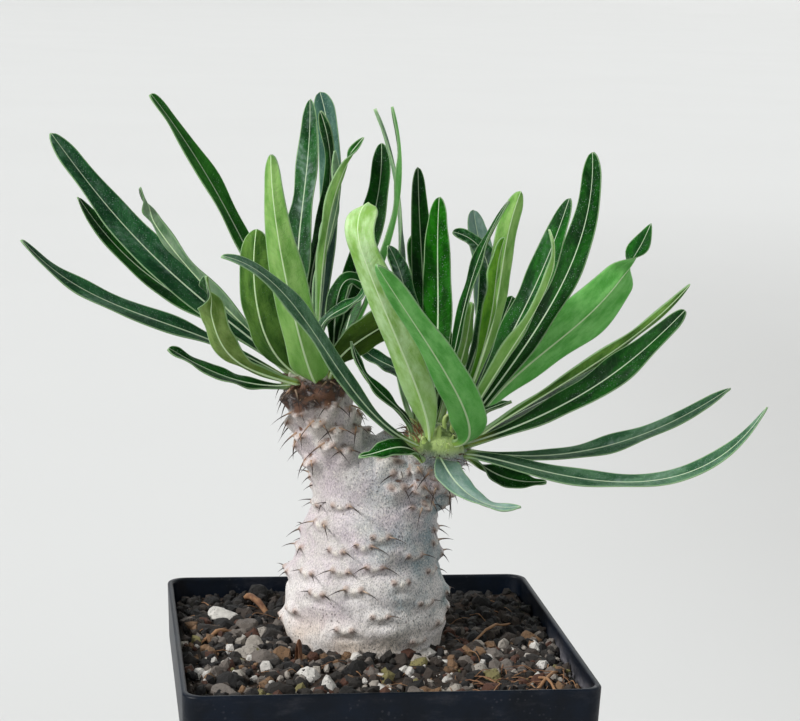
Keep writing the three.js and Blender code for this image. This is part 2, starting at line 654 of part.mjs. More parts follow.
// Half the blade's width as a share of its widest, narrow at the petiole and rounded at the tip
function bladeOutline(share, extras) {
  const { broad = USUAL_BROAD, taper = USUAL_TAPER, point = USUAL_POINT } = extras;
  const widen = THREE.MathUtils.smoothstep(share, 0, broad);
  const body = PETIOLE_SHARE + (1 - PETIOLE_SHARE) * widen;
  const toTip = Math.max(0, (share - 1 + taper) / taper);
  const toEnd = Math.max(0, (share - 1 + TIP_LENGTH) / TIP_LENGTH);
  return Math.max(LEAST_WIDTH, body * (1 - point * toTip ** TIP_POWER) * Math.sqrt(1 - toEnd ** 2));
}

// Rib point, rib direction and upper-side direction at every station of a leaf
function leafFrames(places, roll, { curl = 0, twist = 0 }) {
  const radial = places[3].clone().sub(places[0]).setZ(0).normalize();
  const inward = new THREE.Vector3(0, 0, 1).sub(radial);
  const frameAt = (share) => {
    const { point, direction } = ribAt(places, share);
    const upper = inward.clone().addScaledVector(direction, -inward.dot(direction)).normalize();
    const turnedOver = twist * THREE.MathUtils.smoothstep(share, ...TWIST_RANGE);
    upper.applyAxisAngle(direction, rad(THREE.MathUtils.lerp(...roll, share) + turnedOver));
    return { point, direction, upper };
  };
  if (curl === 0) {
    return BLADE_STATIONS.map(frameAt);
  }
  const hinge = frameAt(CURL_START);
  const reach = hinge.point.distanceTo(places[3]);
  return BLADE_STATIONS.map((share) => {
    if (share <= CURL_START) {
      return frameAt(share);
    }
    const angle = rad(curl) * (share - CURL_START) / (1 - CURL_START);
    const bend = reach / rad(curl);
    const point = hinge.point.clone().addScaledVector(hinge.direction, bend * Math.sin(angle));
    point.addScaledVector(hinge.upper, bend * (1 - Math.cos(angle)));
    const direction = hinge.direction.clone().multiplyScalar(Math.cos(angle));
    direction.addScaledVector(hinge.upper, Math.sin(angle));
    const upper = hinge.upper.clone().multiplyScalar(Math.cos(angle));
    upper.addScaledVector(hinge.direction, -Math.sin(angle));
    return { point, direction, upper };
  });
}

// One blade: right edge, rib and left edge on the underside, then the same back on the upper side
function leafGeometry(places, width, roll, phase, extras = {}) {
  const rings = leafFrames(places, roll, extras).map(({ point, direction, upper }, i) => {
    const share = BLADE_STATIONS[i];
    const half = width / 2 * bladeOutline(share, extras);
    const side = direction.clone().cross(upper);
    const lift = half * Math.tan(rad(BLADE_FOLD));
    const settle = Math.min(1, 3 * share);
    const rib = THREE.MathUtils.lerp(MIDRIB_THICKNESS, BLADE_THICKNESS, share) / 2;
    const edgeAt = (sign) => {
      const ripple = BLADE_WAVE * settle * Math.sin(2 * Math.PI * BLADE_RIPPLES * share + phase + 2 * sign);
      return point.clone().addScaledVector(side, sign * half).addScaledVector(upper, lift + ripple);
    };
    const left = edgeAt(-1);
    const right = edgeAt(1);
    const off = (base, distance) => base.clone().addScaledVector(upper, distance);
    const edge = BLADE_THICKNESS / 2;
    const under = [off(right, -edge), off(point, -rib), off(left, -edge)];
    return [...under, off(left, edge), off(point, rib), off(right, edge)];
  });
  const count = 6;
  const points = rings.flat();
  const faces = [];
  for (let row = 0; row < rings.length - 1; row += 1) {
    for (let i = 0; i < count; i += 1) {
      const a = row * count + i;
      const b = row * count + (i + 1) % count;
      if (i < 3) {
        faces.push(a, b, b + count, a, b + count, a + count);
      } else {
        faces.push(a, b, a + count, b, b + count, a + count);
      }
    }
  }
  const last = (rings.length - 1) * count;
  for (const [a, b, c, d] of [[0, 1, 4, 5], [1, 2, 3, 4]]) {
    faces.push(a, c, b, a, d, c);
    faces.push(last + a, last + b, last + c, last + a, last + c, last + d);
  }
  const geometry = new THREE.BufferGeometry().setFromPoints(points);
  geometry.setIndex(faces);
  return geometry;
}

function leafMeshes(prefix, crown, route, leaves) {
  const room = solidFrom(loftGeometry(branchRings(route, FIT_GAP)));
  return leaves.map(([seatAt, knee, bow, tip, width, roll, colour, extras], i) => {
    const [bearing, height] = seatAt.map(rad);
    const level = Math.cos(height);
    const outward = new THREE.Vector3(level * Math.cos(bearing), level * Math.sin(bearing), Math.sin(height));
    const root = crown.centre.clone().addScaledVector(outward, crown.radius - SEAT_DEPTH);
    const places = [root, ...[knee, bow, tip].map((place) => new THREE.Vector3(...place))];
    const blade = solidFrom(leafGeometry(places, width, roll, PHASE_STEP * i, extras)).subtract(room);
    const name = `${prefix}_leaf_${String(i + 1).padStart(2, '0')}`;
    return namedMesh(name, geometryFrom(blade), COLOURS[colour], 0.5);
  });
}

const plant = new THREE.Group();
plant.add(potMesh(), soilMesh(), caudexMesh());
plant.add(...leafMeshes('left', LEFT_CROWN, leftBranch, leftLeaves));
plant.add(...leafMeshes('right', RIGHT_CROWN, rightBranch, rightLeaves));

export default plant;
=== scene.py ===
"""Potted Pachypodium gracilius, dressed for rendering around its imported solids."""

import logging
import math
from dataclasses import dataclass, field
from enum import Enum

import bmesh
import bpy
import numpy as np
from mathutils import Matrix, Vector, noise


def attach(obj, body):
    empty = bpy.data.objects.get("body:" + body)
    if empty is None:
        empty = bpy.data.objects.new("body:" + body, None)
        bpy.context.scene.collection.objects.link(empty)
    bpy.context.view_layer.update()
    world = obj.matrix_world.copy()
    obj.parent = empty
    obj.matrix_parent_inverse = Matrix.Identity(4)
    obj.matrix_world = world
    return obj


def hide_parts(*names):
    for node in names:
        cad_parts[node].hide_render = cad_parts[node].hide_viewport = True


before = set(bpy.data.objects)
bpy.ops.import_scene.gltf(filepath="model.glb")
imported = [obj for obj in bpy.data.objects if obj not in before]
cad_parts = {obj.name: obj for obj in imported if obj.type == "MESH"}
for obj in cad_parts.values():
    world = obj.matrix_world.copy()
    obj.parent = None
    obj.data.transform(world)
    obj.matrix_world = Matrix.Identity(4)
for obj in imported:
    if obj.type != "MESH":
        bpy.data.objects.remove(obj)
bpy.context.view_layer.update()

MM = 0.001
LOG = logging.getLogger("pachypodium")

Steps = tuple[float, float, float]
Material = bpy.types.Material
Node = bpy.types.Node
Piece = bpy.types.Object
Socket = bpy.types.NodeSocket
Tree = bpy.types.NodeTree


def linear(steps: Steps) -> tuple[float, float, float, float]:
    """Turns display steps from 0 to 255 into a linear colour with full alpha.

    Args:
        steps: red, green and blue.

    Returns:
        The shader colour.
    """
    shares = [step / 255 for step in steps]
    return (*(s / 12.92 if s <= 0.04045 else ((s + 0.055) / 1.055) ** 2.4 for s in shares), 1.0)


def smooth(value: np.ndarray | float, low: float, high: float) -> np.ndarray | float:
    """Rises smoothly from 0 at low to 1 at high."""
    share = np.clip((np.asarray(value, float) - low) / (high - low), 0, 1)
    return share * share * (3 - 2 * share)


def turns(count: int) -> list[float]:
    """Evenly spaced angles round a full circle."""
    return [2 * math.pi * i / count for i in range(count)]


class Draws:
    """A repeatable draw of numbers, the same one that places the solids' repeats."""

    def __init__(self, seed: int) -> None:
        """Starts the draw at a seed."""
        self.state = seed

    def next(self) -> float:
        """Draws a number from 0 to 1."""
        self.state = (self.state * 1664525 + 1013904223) % 4294967296
        return self.state / 4294967296

    def between(self, low: float, high: float) -> float:
        """Draws a number from low to high."""
        return low + (high - low) * self.next()


# Node trees
class Bench:
    """A node tree under construction, with a short call for each kind of node."""

    def __init__(self, tree: Tree) -> None:
        """Takes the tree to build in."""
        self.tree = tree

    def feed(self, socket: Socket, value: object) -> None:
        """Links a socket to another one, or sets its value.

        Args:
            socket: the input to feed.
            value: an output socket, a number, a vector, a colour or a name.
        """
        if isinstance(value, Socket):
            self.tree.links.new(value, socket)
        else:
            socket.default_value = value

    def node(self, kind: str, inputs: dict | None = None, **settings: object) -> Node:
        """Adds a node.

        Args:
            kind: Blender's name of the node type.
            inputs: value or socket for each input, by name or index.
            settings: properties of the node.

        Returns:
            The new node.
        """
        made = self.tree.nodes.new(kind)
        for name, value in settings.items():
            setattr(made, name, value)
        for key, value in (inputs or {}).items():
            self.feed(made.inputs[key], value)
        return made

    def out(self, kind: str, inputs: dict | None = None, **settings: object) -> Socket:
        """Adds a node and gives its first output."""
        return self.node(kind, inputs, **settings).outputs[0]

    def calc(self, operation: str, *values: object) -> Socket:
        """One sum of the Math node."""
        return self.out("ShaderNodeMath", dict(enumerate(values)), operation=operation)

    def times(self, *values: object) -> Socket:
        """Multiplies numbers."""
        product = values[0]
        for value in values[1:]:
            product = self.calc("MULTIPLY", product, value)
        return product

    def vector(self, operation: str, vector: object, other: object) -> Socket:
        """One sum of the Vector Math node."""
        return self.out("ShaderNodeVectorMath", {0: vector, 1: other}, operation=operation)

    def stretch(self, vector: object, x: float, y: float, z: float) -> Socket:
        """Scales a vector along each axis."""
        return self.vector("MULTIPLY", vector, (x, y, z))

    def axes(self, vector: Socket) -> list[Socket]:
        """The three parts of a vector."""
        return list(self.node("ShaderNodeSeparateXYZ", {0: vector}).outputs)

    def band(
        self, value: object, low: float, high: float, start: float = 0.0, end: float = 1.0,
        form: str = "SMOOTHSTEP",
    ) -> Socket:
        """Maps low to high onto start to end."""
        inputs = dict(enumerate((value, low, high, start, end)))
        return self.out("ShaderNodeMapRange", inputs, interpolation_type=form)

    def blend(self, factor: object, first: object, second: object) -> Socket:
        """Mixes two colours, each a socket or display steps."""
        first, second = (linear(c) if isinstance(c, tuple) else c for c in (first, second))
        inputs = {0: factor, 6: first, 7: second}
        return self.node("ShaderNodeMix", inputs, data_type="RGBA").outputs[2]

    def layer(self, colour: Socket, layers: tuple) -> Socket:
        """Lays colours over one another, each given as its mask and its colour."""
        for mask, over in layers:
            colour = self.blend(mask, colour, over)
        return colour

    def noise(
        self, vector: object, scale: object, detail: float = 3.0, rough: float = 0.55
    ) -> Socket:
        """Soft noise from 0 to 1."""
        inputs = {"Vector": vector, "Scale": scale, "Detail": detail, "Roughness": rough}
        return self.out("ShaderNodeTexNoise", inputs)

    def attribute(self, name: str, output: str = "Fac") -> Socket:
        """Reads a named attribute of the mesh in a material."""
        return self.node("ShaderNodeAttribute", attribute_name=name).outputs[output]

    def group(self, name: str, inputs: dict[str, object]) -> Socket:
        """Places a shared node group and gives its output."""
        return self.out("ShaderNodeGroup", inputs, node_tree=bpy.data.node_groups[name])

    def mottle(self, vector: Socket, scale: float, first: Steps, second: Steps) -> Socket:
        """Two display colours in soft patches."""
        inputs = {"Vector": vector, "Scale": scale, "First": linear(first), "Second": linear(second)}
        return self.group("mottle", inputs)

    def speckle(self, vector: Socket, scale: float, size: float, gather: float) -> Socket:
        """Small dots, gathered in patches."""
        inputs = {"Vector": vector, "Scale": scale, "Size": size, "Gather": gather}
        return self.group("speckle", inputs)


SOCKETS = {
    "value": "NodeSocketFloat",
    "colour": "NodeSocketColor",
    "vector": "NodeSocketVector",
    "count": "NodeSocketInt",
    "shape": "NodeSocketGeometry",
    "material": "NodeSocketMaterial",
}


class Group(Bench):
    """A node group under construction, with named inputs and one output."""

    def __init__(self, name: str, kind: str, inputs: dict[str, str], output: str) -> None:
        """Makes the empty group.

        Args:
            name: the group's name.
            kind: Blender's tree type.
            inputs: form of socket for each input's name.
            output: form of the output's socket.
        """
        super().__init__(bpy.data.node_groups.new(name, kind))
        ways = [(label, "INPUT", form) for label, form in inputs.items()]
        for label, way, form in [*ways, ("Result", "OUTPUT", output)]:
            self.tree.interface.new_socket(name=label, in_out=way, socket_type=SOCKETS[form])
        self.given = self.node("NodeGroupInput").outputs
        self.taken = self.node("NodeGroupOutput").inputs

    def give(self, value: Socket) -> Tree:
        """Feeds the output and gives the finished tree."""
        self.feed(self.taken[0], value)
        return self.tree

    def read(self, name: str) -> Socket:
        """Reads a named vector of each point."""
        return self.out("GeometryNodeInputNamedAttribute", {"Name": name}, data_type="FLOAT_VECTOR")

    def dress(self, placed: Socket, rounded: bool) -> Tree:
        """Makes placed instances real, shades them and gives them the tree's material.

        Args:
            placed: the instances.
            rounded: True for smooth shading, False for facets.

        Returns:
            The finished tree.
        """
        real = self.out("GeometryNodeRealizeInstances", {0: placed})
        shaded = self.out("GeometryNodeSetShadeSmooth", {0: real, 2: rounded})
        finish = {"Geometry": shaded, "Material": self.given["Material"]}
        return self.give(self.out("GeometryNodeSetMaterial", finish))


class Paint(Bench):
    """A material under construction: its shader and the point's place in metres."""

    def __init__(self, name: str, roughness: float) -> None:
        """Makes a material with one Principled shader.

        Args:
            name: the material's name.
            roughness: the shader's own roughness.
        """
        self.material = bpy.data.materials.new(name)
        self.material.use_nodes = True
        super().__init__(self.material.node_tree)
        self.shader = self.tree.nodes["Principled BSDF"].inputs
        self.shader["Roughness"].default_value = roughness
        self.place = self.node("ShaderNodeTexCoord").outputs["Object"]

    def bump(self, height: Socket, strength: float, distance: float) -> None:
        """Gives the shader a bumped normal."""
        inputs = {"Strength": strength, "Distance": distance, "Height": height}
        self.feed(self.shader["Normal"], self.out("ShaderNodeBump", inputs))

    def close(self, colour: Socket, **values: object) -> Material:
        """Feeds the shader.

        Args:
            colour: the base colour.
            values: other sockets of the shader, with underscores for spaces.

        Returns:
            The finished material.
        """
        self.feed(self.shader["Base Color"], colour)
        for name, value in values.items():
            self.feed(self.shader[name.replace("_", " ")], value)
        return self.material


def share_effects() -> None:
    """Builds the two shader groups that several materials share."""
    inputs = {"Vector": "vector", "Scale": "value", "First": "colour", "Second": "colour"}
    mottle = Group("mottle", "ShaderNodeTree", inputs, "colour")
    given = mottle.given
    patch = mottle.band(mottle.noise(given["Vector"], given["Scale"], 4.0, 0.6), 0.34, 0.66)
    mottle.give(mottle.blend(patch, given["First"], given["Second"]))
    inputs = {"Vector": "vector", "Scale": "value", "Size": "value", "Gather": "value"}
    dots = Group("speckle", "ShaderNodeTree", inputs, "value")
    given = dots.given
    cells = {"Vector": given["Vector"], "Scale": given["Scale"]}
    edge = dots.calc("SUBTRACT", given["Size"], dots.out("ShaderNodeTexVoronoi", cells))
    patch = dots.noise(given["Vector"], dots.times(given["Scale"], 0.16), 2.0)
    kept = dots.calc("SUBTRACT", patch, given["Gather"])
    dots.give(dots.times(dots.band(edge, 0.0, 0.12), dots.band(kept, 0.0, 0.12)))


# Meshes
def show(name: str, data: bpy.types.ID) -> Piece:
    """Makes an object of some data and links it to the scene."""
    made = bpy.data.objects.new(name, data)
    bpy.context.scene.collection.objects.link(made)
    return made


def new_piece(name: str, points: np.ndarray | list, faces: list, material: Material) -> Piece:
    """Makes a mesh object with smooth shading.

    Args:
        name: the piece's name.
        points: its points in millimetres.
        faces: point numbers of each face, turned outwards.
        material: its finish.

    Returns:
        The object, linked to the scene.
    """
    mesh = bpy.data.meshes.new(name)
    mesh.from_pydata((np.asarray(points, float) * MM).tolist(), [], faces)
    mesh.materials.append(material)
    mesh.polygons.foreach_set("use_smooth", [True] * len(mesh.polygons))
    mesh.update()
    return show(name, mesh)


def point_rows(mesh: bpy.types.Mesh, key: str) -> np.ndarray:
    """The place or the normal of each point of a mesh, a row for each.

    Args:
        mesh: the mesh.
        key: "co" or "normal".

    Returns:
        Rows of three numbers.
    """
    rows = np.empty(len(mesh.vertices) * 3, np.float32)
    mesh.vertices.foreach_get(key, rows)
    return rows.reshape(-1, 3).astype(float)


def keep_values(piece: Piece, values: dict[str, object]) -> None:
    """Stores numbers or vectors for each point of a piece.

    Args:
        piece: the object.
        values: numbers, or rows of three, for each attribute's name.
    """
    for name, rows in values.items():
        rows = np.asarray(rows, np.float32)
        form, key = ("FLOAT_VECTOR", "vector") if rows.ndim == 2 else ("FLOAT", "value")
        piece.data.attributes.new(name, form, "POINT").data.foreach_set(key, rows.ravel())


def strip_faces(rows: int, columns: int, start: int = 0) -> list:
    """Faces of an open tube.

    Args:
        rows: number of rings.
        columns: points in each ring.
        start: number of the first point.

    Returns:
        Four-sided faces between the rings.
    """
    faces = []
    for row in range(rows - 1):
        for i in range(columns):
            a = start + row * columns + i
            b = start + row * columns + (i + 1) % columns
            faces.append((a, b, b + columns, a + columns))
    return faces


def tube_faces(rows: int, columns: int, start: int = 0) -> list:
    """Faces of a tube with both ends closed by one face."""
    first = tuple(reversed(range(start, start + columns)))
    last = tuple(range(start + (rows - 1) * columns, start + rows * columns))
    return [first, *strip_faces(rows, columns, start), last]


def evaluate(source: Piece) -> bpy.types.Mesh:
    """The plain mesh of an object with its live modifiers applied."""
    graph = bpy.context.evaluated_depsgraph_get()
    graph.update()
    return bpy.data.meshes.new_from_object(source.evaluated_get(graph), depsgraph=graph)


def freeze(source: Piece, name: str) -> Piece:
    """Turns an object and its modifiers into a plain piece and removes the source.

    Args:
        source: the object with live modifiers.
        name: the new piece's name.

    Returns:
        The plain object, linked to the scene.
    """
    mesh = evaluate(source)
    mesh.name = name
    bpy.data.objects.remove(source)
    return show(name, mesh)


def grow(name: str, base: Piece, tree: Tree, values: dict[str, object]) -> Piece:
    """Runs a geometry tree on a base object and keeps the plain result.

    Args:
        name: the piece's name.
        base: the object that carries the points; it is used up.
        tree: the geometry node group.
        values: value for each named input.

    Returns:
        The plain object.
    """
    modifier = base.modifiers.new("grow", "NODES")
    modifier.node_group = tree
    for item in tree.interface.items_tree:
        if item.in_out == "INPUT" and item.name in values:
            modifier[item.identifier] = values[item.name]
    return freeze(base, name)


def publish(piece: Piece, slot: str, *nodes: str) -> None:
    """Seats a finished piece on the root body and says what it stands for.

    Args:
        piece: the finished object.
        slot: the record's material slot; not used.
        nodes: the solids that the piece stands for.
    """
    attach(piece, "root")
    if nodes:
        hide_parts(*nodes)
    faces = sum(len(polygon.vertices) - 2 for polygon in piece.data.polygons)
    LOG.info("%s: %d triangles, stands for %s", piece.name, faces, ", ".join(nodes) or "none")


def plant(
    name: str, slot: str, places: list, values: dict[str, object], tree: Tree,
    settings: dict[str, object],
) -> None:
    """Stands a geometry tree's copies on points and publishes them as one piece.

    Args:
        name: the piece's name.
        slot: the record's material slot.
        places: the points in millimetres.
        values: each point's values, by the attribute's name.
        tree: the geometry node group.
        settings: value for each of the tree's named inputs.
    """
    base = new_piece(f"{name}_places", places, [], settings["Material"])
    keep_values(base, values)
    publish(grow(name, base, tree, settings), slot)


# Pot
@dataclass(frozen=True)
class PotPlastic:
    """Black moulded plastic with dust and scuffs, and a painted sheen with haze on one inner wall."""

    body: Steps = (1, 7, 17)
    paler: Steps = (5, 17, 32)
    # pale colour of the painted sheen, with haze, on the lit right inner wall
    sheen_and_haze: Steps = (176, 172, 178)
    roughness: float = 0.42
    chalky: float = 0.85

    def material(self) -> Material:
        """Builds the plastic.

        Returns:
            The material.
        """
        paint = Paint("pot_plastic", self.roughness)
        place = paint.place
        x, y, z = paint.axes(place)
        inner = paint.times(paint.band(x, 0.0405, 0.0415), paint.band(x, 0.0437, 0.0434))
        front = paint.times(paint.band(y, 0.03, -0.01), paint.band(y, -0.0436, -0.043))
        streaky_haze = paint.band(paint.noise(paint.stretch(place, 1, 0.5, 1), 260.0, 5.0), 0.3, 0.8)
        # painted sheen with haze: a pale patch on the front of the right inner wall, above the soil
        sheen_and_haze = paint.times(inner, front, streaky_haze, paint.band(z, 0.0665, 0.068))
        scuff = paint.noise(paint.stretch(place, 0.35, 1, 1), 220.0, 6.0, 0.7)
        scuff = paint.times(paint.band(scuff, 0.5, 0.75), 0.04)
        dust = paint.times(paint.speckle(place, 900.0, 0.3, 0.52), 0.04)
        # real dust and scuffs together with the painted sheen
        dust_scuff_and_sheen = paint.calc("MAXIMUM", sheen_and_haze, paint.calc("MAXIMUM", dust, scuff))
        colour = paint.blend(dust_scuff_and_sheen, paint.mottle(place, 70.0, self.body, self.paler), self.sheen_and_haze)
        paint.bump(paint.noise(place, 1400.0, 2.0), 0.25, 0.0002)
        rough = paint.band(dust_scuff_and_sheen, 0.0, 1.0, self.roughness, self.chalky)
        return paint.close(colour, Roughness=rough, Specular_IOR_Level=0.2)


@dataclass
class Pot:
    """The square nursery pot: tapering wall, collar, thin round lip, floor and drains."""

    size: float = 90.0
    height: float = 80.0
    wall: float = 1.3
    floor: float = 1.8
    corner: float = 4.0
    base_size: float = 67.0
    base_edge: float = 0.8
    collar_height: float = 14.0
    collar_step: float = 1.5
    collar_draft: float = 0.5
    drain_radius: float = 3.5
    drain_offset: float = 22.0
    drain_sides: int = 24
    drill_low: float = -2.0
    drill_high: float = 4.0
    corner_steps: int = 12
    sharp: float = 35.0
    plastic: PotPlastic = PotPlastic()

    def ring(self, half: float, z: float) -> np.ndarray:
        """One square ring with round corners.

        Args:
            half: half the ring's width.
            z: its height.

        Returns:
            The ring's points, anticlockwise from above.
        """
        corner = self.corner * half * 2 / self.size
        inset = half - corner
        points = []
        for quarter in range(4):
            start = math.radians(90 * quarter)
            middle = start + math.radians(45)
            cx = inset * math.sqrt(2) * math.cos(middle)
            cy = inset * math.sqrt(2) * math.sin(middle)
            for i in range(self.corner_steps + 1):
                angle = start + math.radians(90) * i / self.corner_steps
                points.append((cx + corner * math.cos(angle), cy + corner * math.sin(angle), z))
        return np.array(points)

    def profile(self) -> list[tuple[float, float]]:
        """Lists the pot's rings, up the outside and down the inside.

        Returns:
            Half width and height of each ring.
        """
        foot = self.height - self.collar_height
        half = self.size / 2
        base = self.base_size / 2
        collar = half - self.collar_draft
        shoulder = collar - self.collar_step
        rows = [(base - self.base_edge, 0.0), (base - self.base_edge * 0.3, 0.25), (base, 0.8)]
        rows += [(shoulder - 0.05, foot - 1.0), (shoulder, foot - 0.6), (shoulder + 0.3, foot - 0.5)]
        rows += [(collar - 0.3, foot), (collar, foot + 0.3)]
        bead = self.wall / 2
        for turn in range(0, 181, 20):
            angle = math.radians(turn)
            reach, rise = bead * math.cos(angle), bead * math.sin(angle)
            rows.append((half - bead + reach, self.height - bead + rise))
        inner = collar - self.wall
        rows += [(inner, foot + 1.2), (inner - 0.2, foot + 0.8)]
        rows += [(shoulder - self.wall, foot - 0.2), (shoulder - self.wall, foot - 0.6)]
        rows += [(base - self.wall, self.floor + 0.6), (base - self.wall - 0.6, self.floor)]
        return rows

    def build(self) -> None:
        """Makes the pot."""
        rings = [self.ring(half, z) for half, z in self.profile()]
        faces = tube_faces(len(rings), len(rings[0]))
        shell = new_piece("pot_shell", np.concatenate(rings), faces, self.plastic.material())
        for x in (-self.drain_offset, self.drain_offset):
            for y in (-self.drain_offset, self.drain_offset):
                self.drill(shell, x, y)
        piece = freeze(shell, "square_pot")
        self.keep_edges(piece)
        publish(piece, "pot", "pot")

    def drill(self, shell: Piece, x: float, y: float) -> None:
        """Cuts one drain hole.

        Args:
            shell: the pot's shell.
            x: the hole's place along x.
            y: the hole's place along y.
        """
        round_hole = [
            (x + self.drain_radius * math.cos(a), y + self.drain_radius * math.sin(a))
            for a in turns(self.drain_sides)
        ]
        points = [(px, py, z) for z in (self.drill_low, self.drill_high) for px, py in round_hole]
        material = shell.data.materials[0]
        drill = new_piece("drill", points, tube_faces(2, self.drain_sides), material)
        cut = shell.modifiers.new("drain", "BOOLEAN")
        cut.operation, cut.object, cut.solver = "DIFFERENCE", drill, "EXACT"
        plain = evaluate(shell)
        shell.modifiers.clear()
        shell.data = plain
        bpy.data.objects.remove(drill)

    def keep_edges(self, piece: Piece) -> None:
        """Keeps flat walls flat and the rounded corners smooth.

        Args:
            piece: the finished pot.
        """
        for polygon in piece.data.polygons:
            polygon.use_smooth = True
        edges = bmesh.new()
        edges.from_mesh(piece.data)
        for edge in edges.edges:
            if len(edge.link_faces) == 2 and edge.calc_face_angle(0.0) > math.radians(self.sharp):
                edge.smooth = False
        edges.to_mesh(piece.data)
        edges.free()


# Trunk
# Rings of the trunk: height, shift along x, half width
TRUNK_ROWS = [
    (64, 0.4, 14.5), (70, 0.4, 16.2), (75, 0.1, 17.9), (78.6, -0.2, 18.5), (82, -0.2, 18.9),
    (85, -0.1, 18.9), (88.5, 0.3, 18.4), (92, -0.1, 18.0), (95.5, 0.4, 16.9), (99, 0.7, 16.2),
    (103, 0.8, 15.7), (106.5, 1.3, 14.6), (110, 2.2, 13.8), (113.5, 2.0, 14.4), (117, 1.4, 14.9),
    (120, 1.0, 13.6), (122, 0.6, 11), (123.4, 0.3, 7), (124, 0.2, 3),
]
TRUNK_Y = 7.5

# Girth of a spine or bristle as a share of its length, before each is sized
SLENDER = 0.05

# Spine pairs of the trunk's front: bearing, height, and the lengths left and right
FRONT_SITES = [
    (-134, 110, 5.5, 6.5), (-150, 105.3, 5, 6), (-75, 117.8, 5, 2), (-44, 118, 3, 3),
    (-56, 114, 5, 6), (-30, 113.8, 5.5, 6), (-59, 110, 3.5, 4.5), (-17, 109, 5, 5.5),
    (-11, 112.5, 4.5, 5), (-173, 98.4, 5.5, 4), (-126, 99.9, 1.5, 4), (-103, 101.7, 1.5, 5),
    (-90, 103.8, 1.2, 4.5), (-61, 99.2, 3, 4), (-32, 100.9, 3, 4.5), (-12, 96.9, 4, 4.5),
    (-93, 97, 4, 4.5), (-119, 95.6, 4, 3.5), (-149, 93.9, 3, 4.5), (175, 91.7, 5, 4),
    (-41, 94.8, 1.2, 1.2), (-72, 93.3, 1, 1), (-106, 91.8, 4.5, 5), (-135, 89.9, 3, 5),
    (-17, 88.3, 3.5, 2.5), (-52, 88.1, 1.2, 3), (-158, 84.7, 1.2, 2), (-87, 85.8, 1.2, 3.5),
    (-13, 84.3, 3.5, 3), (-111, 82.5, 2, 1.5), (-35, 82.6, 1.2, 1.2), (177, 80.9, 2.5, 2),
    (-57, 79.5, 1, 1), (177, 115.1, 6, 5), (175, 118, 5, 6), (-168, 109.1, 6, 5),
    (-26, 103.7, 4, 4),
]
FRONT_GROWTH = 1.1


@dataclass
class Route:
    """A branch's middle line: places and radii from inside the trunk to the crown."""

    places: list
    radii: list

    def at(self, share: float) -> tuple[np.ndarray, np.ndarray, float]:
        """The place, the direction and the radius at a share of the way."""
        return self.point(share), self.direction(share), self.radius(share)

    def point(self, share: float) -> np.ndarray:
        """Follows a smooth curve through all places.

        Args:
            share: how far along, from 0 to 1.

        Returns:
            The place there.
        """
        spots = np.array(self.places, float)
        last = len(spots) - 1
        leg = min(int(share * last), last - 1)
        t = share * last - leg
        before = spots[leg - 1] if leg > 0 else 2 * spots[0] - spots[1]
        after = spots[leg + 2] if leg + 2 <= last else 2 * spots[last] - spots[last - 1]
        a, b = spots[leg], spots[leg + 1]
        return 0.5 * (
            2 * a + (b - before) * t + (2 * before - 5 * a + 4 * b - after) * t**2
            + (3 * a - before - 3 * b + after) * t**3
        )

    def direction(self, share: float) -> np.ndarray:
        """The unit direction at a share of the way."""
        step = self.point(min(1, share + 0.01)) - self.point(max(0, share - 0.01))
        return step / np.linalg.norm(step)

    def radius(self, share: float) -> float:
        """The radius at a share of the way."""
        return float(np.interp(share * (len(self.radii) - 1), range(len(self.radii)), self.radii))


@dataclass(frozen=True)
class Crown:
    """The round top of a branch, where the leaves are seated."""

    centre: tuple[float, float, float]
    radius: float


LEFT_CROWN = Crown((-14, 3, 137.5), 5.8)
RIGHT_CROWN = Crown((14.5, 0.5, 122), 6.8)
LEFT_ROUTE = Route(
    [(-3.4, 6.2, 107), (-6.4, 5.2, 117), (-9.8, 4.4, 124.5), (-12, 3.6, 131), LEFT_CROWN.centre],
    [9.4, 7.9, 6.6, 6.5, LEFT_CROWN.radius],
)
RIGHT_ROUTE = Route(
    [(5, 6, 104), (8.2, 4.4, 112), (11.4, 2.6, 117.4), RIGHT_CROWN.centre],
    [10.4, 8.7, 7.3, RIGHT_CROWN.radius],
)


